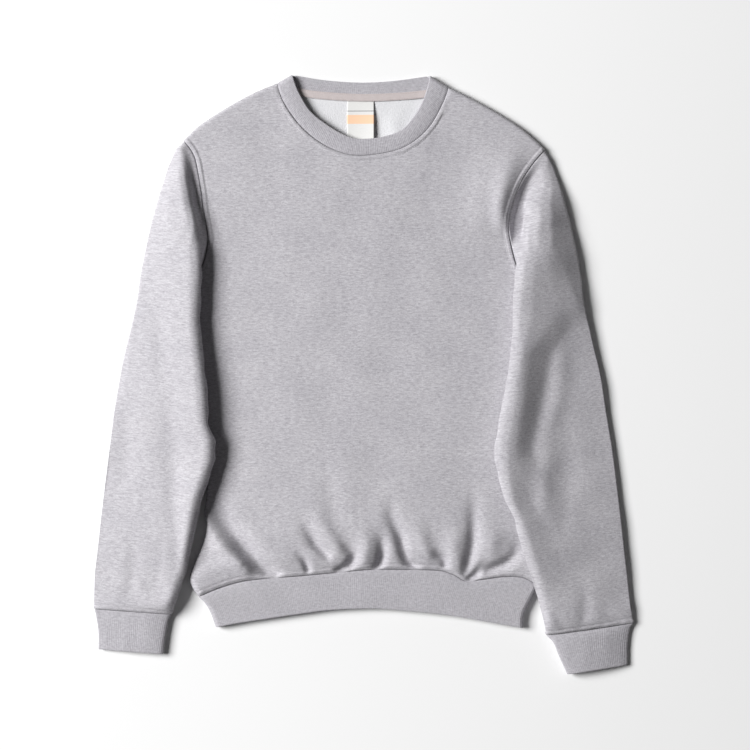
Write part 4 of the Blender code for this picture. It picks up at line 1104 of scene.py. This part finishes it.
cuff_pieces = {}
fine_places = np.linspace(0, 1, GIRTH_PLACES + 1)
for side in SIDES:
    guides = np.array([sleeve_ends[side]] + [ring(row) for row in CUFF_RINGS[side]])
    line = loft(guides, fine_places[:-1], np.array([len(guides) - 1.0]))[0]
    girth = travelled(np.vstack([line, line[:1]]))
    ribs = rib_count(girth[-1])
    places = np.interp(rib_shares(ribs)[:-1] * girth[-1], girth, fine_places)
    skin = loft(guides, places, np.array(CUFF_STATIONS))
    skin[..., 2] = np.maximum(skin[..., 2], 0)
    normals = outward(skin, True)
    swell = CUFF_SWELL * unevenness(skin[..., 0], skin[..., 1], 30, 41) * unit(normals[..., 2])
    cuff_pieces[side] = folded_band("cuff_" + side + "_rib",
                                    set_in(skin, normals, BAND_SUNK, swell), normals, ribs)


# ---------------------------------------------------------------- collar
# A ring of the same rib knit, folded double at the neck's edge and stretched a little as it is
# sewn in, so that it stands smooth.

COLLAR_FRONT_EDGE = ((-91, 383), (-82, 360), (-68, 337), (-49, 321), (-26, 307), (-8, 301),
                     (8, 301), (28, 304), (49, 312), (67, 332), (79, 356), (86, 382))
COLLAR_BACK_EDGE = ((-91, 383), (-49, 376), (-5, 373), (36, 375), (86, 382))
COLLAR_ROWS = (0.0, 0.03, 0.07, 0.12, 0.2, 0.32, 0.46, 0.6, 0.74, 0.86, 0.94, 1.0)
COLLAR_CROWN = 0.8      # how far the front's middle stands above its sides
COLLAR_STRETCH = (1.12, 1.06)   # at the front's and the back's seam, over the edge
COLLAR_SUNK = (0.8, 0.24)       # depth of the seam's groove, front and back


def collar_half(edge, seam, stretch, shares, panel, columns):
    """Half of the collar: its number of ribs, its seam, its edge and how far in each point is."""
    edge, seam = spline(edge), spline(seam)
    ribs = rib_count(edge.length * stretch)
    share = rib_shares(ribs)
    first, last = columns[0], sum(columns)
    seam_z = np.interp(share, shares, panel[first:last + 1, -1, 2])
    return (ribs, np.column_stack([seam(share), seam_z]), edge(share),
            np.minimum(share, 1 - share) * edge.length)


collar_front = collar_half(COLLAR_FRONT_EDGE, FRONT_NECK, COLLAR_STRETCH[0], front_neck_shares,
                           front_smooth, FRONT_COLUMNS)
collar_back = collar_half(COLLAR_BACK_EDGE, BACK_NECK, COLLAR_STRETCH[1], back_neck_shares,
                          back_smooth, BACK_COLUMNS)
collar_seam, collar_plan, inset = (there_and_back(front, back) for front, back
                                   in zip(collar_front[1:], collar_back[1:]))
collar_is_front = np.arange(len(inset)) < len(collar_front[1])
flat = roll(inset, FLAT_ROLL)
collar_edge = np.column_stack([collar_plan, np.where(
    collar_is_front, FOLD_HEIGHT + (BAND_TOP - FOLD_HEIGHT) * flat, FOLD_HEIGHT * (1 - flat))])
collar_skin = np.array([collar_seam + (collar_edge - collar_seam) * share for share in COLLAR_ROWS])
collar_skin[..., 2] += np.outer(np.sin(math.pi * np.array(COLLAR_ROWS)),
                                COLLAR_CROWN * collar_is_front * flat)
collar_normals = outward(collar_skin, True)
collar_grooved = set_in(collar_skin, collar_normals, np.where(collar_is_front, *COLLAR_SUNK))
collar_piece = folded_band("collar_rib", collar_grooved, collar_normals,
                           collar_front[0] + collar_back[0])


# ---------------------------------------------------------------- neck tape
# A woven cotton tape covers the back neck seam, so that it doesn't rub. It is twill, and is
# held by a row of lockstitch along each edge.

TAPE_ENDS = (0.115, 0.885)      # of the back neckline
TAPE_CLOTH = 0.8        # its thickness
TAPE_HEIGHT = 3.8       # of its lower face over the table
TAPE_COLUMNS = 90
TAPE_ROWS = (-4.8, -4.4, -3.4, -1.7, 0.0, 1.7, 3.4, 4.4, 4.8)   # across it, from its middle
TAPE_SEWN = 3.6         # from its middle to its stitches
TAPE_SUNK, TAPE_WORN = 0.22, 0.35       # how deep its stitches sink, and its edges
TAPE_RIPPLE = 0.12
TWILL_SLANT = 38        # degrees


def woven_tape(name):
    """Cotton twill in a warm beige: fine slanting ribs, with a thread or two out of line."""
    material, tree, shader, cut = cloth_material(name, 0.85, 0.1)
    slant = link(tree, "ShaderNodeMapping", {
        "Vector": cut, "Rotation": (0.0, 0.0, math.radians(TWILL_SLANT)),
        "Scale": (1000.0, 1000.0, 1000.0)}).outputs[0]
    twill = link(tree, "ShaderNodeTexWave", {"Vector": slant, "Scale": 0.36, "Distortion": 1.2,
                                             "Detail": 1.0}).outputs["Fac"]
    fibres = noise(tree, cut, 900.0, 500.0, 2.0, 0.6)
    colour = ramp(tree, twill, (0.2, (0.56, 0.50, 0.495)), (0.8, (0.68, 0.615, 0.61)))
    colour = toned(tree, colour, 0.6, fibres, (0.3, (0.86, 0.85, 0.85)), (0.7, (1.08, 1.07, 1.07)))
    surfaced(tree, shader, colour, twill, 0.5, 0.0003)
    return material


back_neck = spline(BACK_NECK)
tape_share = np.linspace(*TAPE_ENDS, TAPE_COLUMNS)
tape_line = back_neck(tape_share)
tape_run = directions(np.gradient(tape_line, axis=0))
tape_side = np.column_stack([-tape_run[:, 1], tape_run[:, 0]])
tape_rows = np.array(TAPE_ROWS)
tape_z = np.full(TAPE_COLUMNS, TAPE_HEIGHT)
tape_low = np.array([np.column_stack([tape_line + tape_side * offset, tape_z])
                     for offset in TAPE_ROWS])
sunk = (TAPE_SUNK * bell(np.abs(tape_rows) - TAPE_SEWN, 0.6)
        + TAPE_WORN * (np.abs(tape_rows) == TAPE_ROWS[-1]))
ripple = TAPE_RIPPLE * unevenness(tape_low[..., 0], tape_low[..., 1], 9, 51)
tape_high = raised(tape_low, TAPE_CLOTH + ripple - sunk[:, None])
tape_along, tape_across = np.meshgrid(tape_share * back_neck.length, TAPE_ROWS)
tape_piece = layered("neck_tape_twill", tape_low, tape_high, False, (woven_tape("tape_twill"),),
                     tape_along, tape_across)


# ---------------------------------------------------------------- neck label
# A plain satin label, caught under the tape at its top and loose below, where it lifts a
# little from the back panel. Two woven stripes are all that it carries.

LABEL_SIZE = (34.5, 52.0)
LABEL_TOP = (-3.0, 351.5)       # x and y of its upper edge's middle
LABEL_CLOTH = 0.6       # its thickness
LABEL_GRID = (40, 25)   # its rows and columns
LABEL_CUT = 50          # where across the satin it is cut
LABEL_REST = 0.35       # of the label over the back panel
LABEL_LIFT, LABEL_CURL = 1.6, 3.2      # at its lower edge, and at its right one
STRIPES = ((19.5, 31.0, (0.93, 0.62, 0.42)), (14.2, 15.0, (0.13, 0.13, 0.14)))   # from, to, colour


def satin_label(name):
    """Cream satin with its stripes woven in, and a fine warp that shows in the gloss."""
    material, tree, shader, cut = cloth_material(name, 0.5, 0.15)
    down = link(tree, "ShaderNodeSeparateXYZ", {0: cut}).outputs["Y"]
    warp = noise(tree, cut, 2600.0, 500.0)
    colour = ramp(tree, warp, (0.3, (0.72, 0.715, 0.70)), (0.7, (0.82, 0.815, 0.80)))
    wobble = reckoned(tree, "MULTIPLY_ADD", warp, 0.0002, down)
    for start, end, shade in STRIPES:
        after = reckoned(tree, "GREATER_THAN", wobble, start * MM)
        before = reckoned(tree, "LESS_THAN", wobble, end * MM)
        inside = reckoned(tree, "MULTIPLY", after, before)
        colour = mixed(tree, "MIX", inside, colour, (*shade, 1.0))
    surfaced(tree, shader, colour, warp, 0.3, 0.0002)
    return material


down, side = np.meshgrid(np.linspace(0, 1, LABEL_GRID[0]), np.linspace(-0.5, 0.5, LABEL_GRID[1]),
                         indexing="ij")
lift = LABEL_LIFT * down ** 1.6 + LABEL_CURL * (0.5 + side) ** 2 * unit(2 * down)
low = np.dstack([LABEL_TOP[0] + side * LABEL_SIZE[0], LABEL_TOP[1] - down * LABEL_SIZE[1],
                 FLEECE + LABEL_REST + lift])
label_piece = layered("neck_label_satin", low, low + np.array([0, 0, LABEL_CLOTH]), False,
                      (satin_label("label_satin"),), side * LABEL_SIZE[0] + LABEL_CUT,
                      down * LABEL_SIZE[1])


# ---------------------------------------------------------------- stitching
# Polyester thread in the garment's own grey. Two needle rows lie on the turnings of each
# covered seam, and a single row holds each edge of the tape.

STITCH = 2.6            # length of a stitch
STITCH_STEP = 3.1       # from one to the next
THREAD = 0.3            # half its thickness
THREAD_LIFT = 0.1       # of its middle over the cloth


def thread_material(name, colour):
    material, tree, shader, _ = cloth_material(name, 0.55, 0.1)
    place = link(tree, "ShaderNodeTexCoord").outputs["Object"]
    twist = noise(tree, place, 1800.0, 1800.0, layer=1800.0)
    low, high = (tuple(c * k for c in colour) for k in (0.86, 1.08))
    tree.links.new(ramp(tree, twist, (0.3, low), (0.7, high)), shader.inputs["Base Color"])
    return material


def stitch_tree():
    """One row of stitches along a line: a flattened bead of thread for each, end to end."""
    tree, given, result = new_tree("stitch_row", (("Step", "Float"), ("Length", "Float"),
                                                  ("Thickness", "Float"), ("Material", "Material")))
    line = link(tree, "GeometryNodeMeshToCurve", {"Mesh": given["Geometry"]}).outputs[0]
    even = link(tree, "GeometryNodeResampleCurve", {"Curve": line, "Length": given["Step"]},
                mode="LENGTH")
    spots = link(tree, "GeometryNodeCurveToPoints", {"Curve": even.outputs[0]}, mode="EVALUATED")
    lie = link(tree, "FunctionNodeAlignRotationToVector", {"Vector": spots.outputs["Tangent"]},
               axis="Z")
    bead = link(tree, "GeometryNodeMeshUVSphere", {"Segments": 6, "Rings": 4, "Radius": 0.5})
    size = link(tree, "ShaderNodeCombineXYZ", {0: given["Thickness"], 1: given["Thickness"],
                                               2: given["Length"]})
    placed = link(tree, "GeometryNodeInstanceOnPoints",
                  {"Points": spots.outputs[0], "Instance": bead.outputs[0],
                   "Rotation": lie.outputs[0], "Scale": size.outputs[0]})
    return finished(tree, placed.outputs[0], given["Material"], result)


STITCH_TREE = stitch_tree()


def lines_at(points, away, lift):
    """The needle rows over a skin; its points run away from the seam."""
    return [np.array([[np.interp(distance, gaps, column[:, k]) for k in range(3)]
                      for column, gaps in zip(points, np.maximum.accumulate(away, axis=1))]) + lift
            for distance in SEAM_ROWS]


def sewn(name, lines, material, closed=False):
    """A piece of stitching along these lines on the cloth."""
    edges, start = [], 0
    for line in lines:
        index = start + np.arange(len(line))
        edges += list(zip(index[:-1].tolist(), index[1:].tolist()))
        if closed:
            edges.append((int(index[-1]), start))
        start += len(line)
    piece = new_object(name, new_mesh(name, np.vstack(lines), edges, []))
    piece = through_tree(piece, STITCH_TREE, {"Step": STITCH_STEP * MM, "Length": STITCH * MM,
                                              "Thickness": 2 * THREAD * MM, "Material": material})
    piece.data.shade_smooth()
    return piece


grey_thread = thread_material("grey_thread", (0.52, 0.51, 0.535))
beige_thread = thread_material("beige_thread", (0.56, 0.50, 0.49))
OVER = np.array([0, 0, THREAD_LIFT])
EDGE_COLUMNS, CUFF_ROWS = 60, 40        # of a panel and of a sleeve that hold a seam's stitches

hem_lines = lines_at(front_skin[3:-3], front_away["hem"][3:-3], OVER)
hem_stitches = sewn("hem_stitching", [line[1:-1] for line in hem_lines], grey_thread)
neck = slice(FRONT_COLUMNS[0] + 1, sum(FRONT_COLUMNS))
neck_stitches = sewn("neck_stitching", lines_at(front_skin[neck, :-EDGE_COLUMNS - 1:-1],
                                                front_away["neck"][neck, :-EDGE_COLUMNS - 1:-1],
                                                OVER), grey_thread)
arm_stitches, cuff_stitches = {}, {}
for side in SIDES:
    rows = slice(-ARMHOLE_ROWS + 2, -3)
    columns = slice(EDGE_COLUMNS) if side == "left" else slice(None, -EDGE_COLUMNS - 1, -1)
    lines = lines_at(front_skin[columns, rows].transpose(1, 0, 2),
                     front_away[side][columns, rows].T, OVER)
    arm_stitches[side] = sewn("armhole_stitching_" + side, lines, grey_thread)
    skin, away = (rows[:-CUFF_ROWS - 1:-1] for rows in (sleeve_skins[side], sleeve_away[side]))
    lines = lines_at(skin.transpose(1, 0, 2), (away[0] - away).T,
                     THREAD_LIFT * outward(sleeve_skins[side], True)[-1])
    cuff_stitches[side] = sewn("cuff_stitching_" + side, lines, grey_thread, closed=True)
tape_stitches = sewn("tape_stitching", [tape_high[k, 1:-1] + OVER for k in (2, 6)], beige_thread)


# ---------------------------------------------------------------- what each piece stands for
# Each cloth piece is listed with the width and length of its cloth laid flat, and the area of its
# cut, though nothing here reads them; the part it stands for is hidden and the piece attached to
# the root.

for piece, node, slot, flat, area, rests, threads in (
        (back_piece, "back", "fleece", (0.505, 0.672), 0.282, ["studio_table"], []),
        (front_piece, "front", "fleece", (0.510, 0.672), 0.285, ["back_panel"],
         [hem_stitches, neck_stitches, arm_stitches["left"], arm_stitches["right"]]),
        (hem_piece, "hem_band", "rib", (0.860, 0.053), 0.045, ["studio_table"], []),
        (sleeve_pieces["left"], "sleeve_left", "fleece", (0.340, 0.620), 0.127,
         ["front_panel", "studio_table"], [cuff_stitches["left"]]),
        (sleeve_pieces["right"], "sleeve_right", "fleece", (0.340, 0.630), 0.127,
         ["front_panel", "studio_table"], [cuff_stitches["right"]]),
        (cuff_pieces["left"], "cuff_left", "rib", (0.190, 0.052), 0.0098, ["studio_table"], []),
        (cuff_pieces["right"], "cuff_right", "rib", (0.190, 0.052), 0.0098, ["studio_table"], []),
        (collar_piece, "collar", "rib", (0.560, 0.026), 0.0135, ["studio_table"], []),
        (tape_piece, "neck_tape", "tape", (0.176, 0.010), None, ["collar_rib", "back_panel"],
         [tape_stitches]),
        (label_piece, "label", "label", (0.0345, 0.052), None, ["back_panel"], [])):
    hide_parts(node)
    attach(piece, "root")
    for thread in threads:
        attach(thread, "root")


# ---------------------------------------------------------------- table, light and camera
# A plain white table, one large soft lamp low on the left and a weak even fill. The camera
# looks straight down on the garment's middle.

TABLE_HALF, TABLE_DROP = 6, 0.0004      # metres: half its side, and how far it lies under 0
LAMP_DISTANCE = 7.0     # metres
LAMP_HEIGHT, LAMP_BEARING = 40.0, 168.0        # degrees up, and round from +X
LAMP_SIZE, LAMP_POWER = 3.4, 770.0
FILL = 0.07             # strength of the even light from all round
CAMERA_PLACE = (0.0149, -0.0006, 4.0)   # metres

table_mesh = bpy.data.meshes.new("studio_table")
table_mesh.from_pydata([(TABLE_HALF * x, TABLE_HALF * y, -TABLE_DROP)
                        for x, y in ((-1, -1), (1, -1), (1, 1), (-1, 1))], [], [(0, 1, 2, 3)])
table = new_object("studio_table", table_mesh)
table_paint = bpy.data.materials.new("table_paint")
table_paint.use_nodes = True
paint = table_paint.node_tree.nodes["Principled BSDF"].inputs
paint["Base Color"].default_value = (0.93, 0.93, 0.93, 1.0)
paint["Roughness"].default_value = 0.9
paint["Specular IOR Level"].default_value = 0.1
table_mesh.materials.append(table_paint)

lamp_data = bpy.data.lights.new("key_lamp", "AREA")
lamp_data.shape = "SQUARE"
lamp_data.size = LAMP_SIZE
lamp_data.energy = LAMP_POWER
lamp = new_object("key_lamp", lamp_data)
bearing, height = math.radians(LAMP_BEARING), math.radians(LAMP_HEIGHT)
lamp.location = LAMP_DISTANCE * Vector((math.cos(height) * math.cos(bearing),
                                        math.cos(height) * math.sin(bearing), math.sin(height)))
lamp.rotation_euler = (-lamp.location).to_track_quat("-Z", "Y").to_euler()

world = bpy.data.worlds.new("studio_air")
world.use_nodes = True
background = world.node_tree.nodes["Background"].inputs
background["Color"].default_value = (1.0, 1.0, 1.0, 1.0)
background["Strength"].default_value = FILL
bpy.context.scene.world = world
bpy.context.scene.view_settings.view_transform = "Standard"

camera_data = bpy.data.cameras.new("camera")
camera_data.lens = 150.0
camera_data.sensor_width = 36.0
camera = new_object("camera", camera_data)
camera.location = CAMERA_PLACE
bpy.context.scene.camera = camera
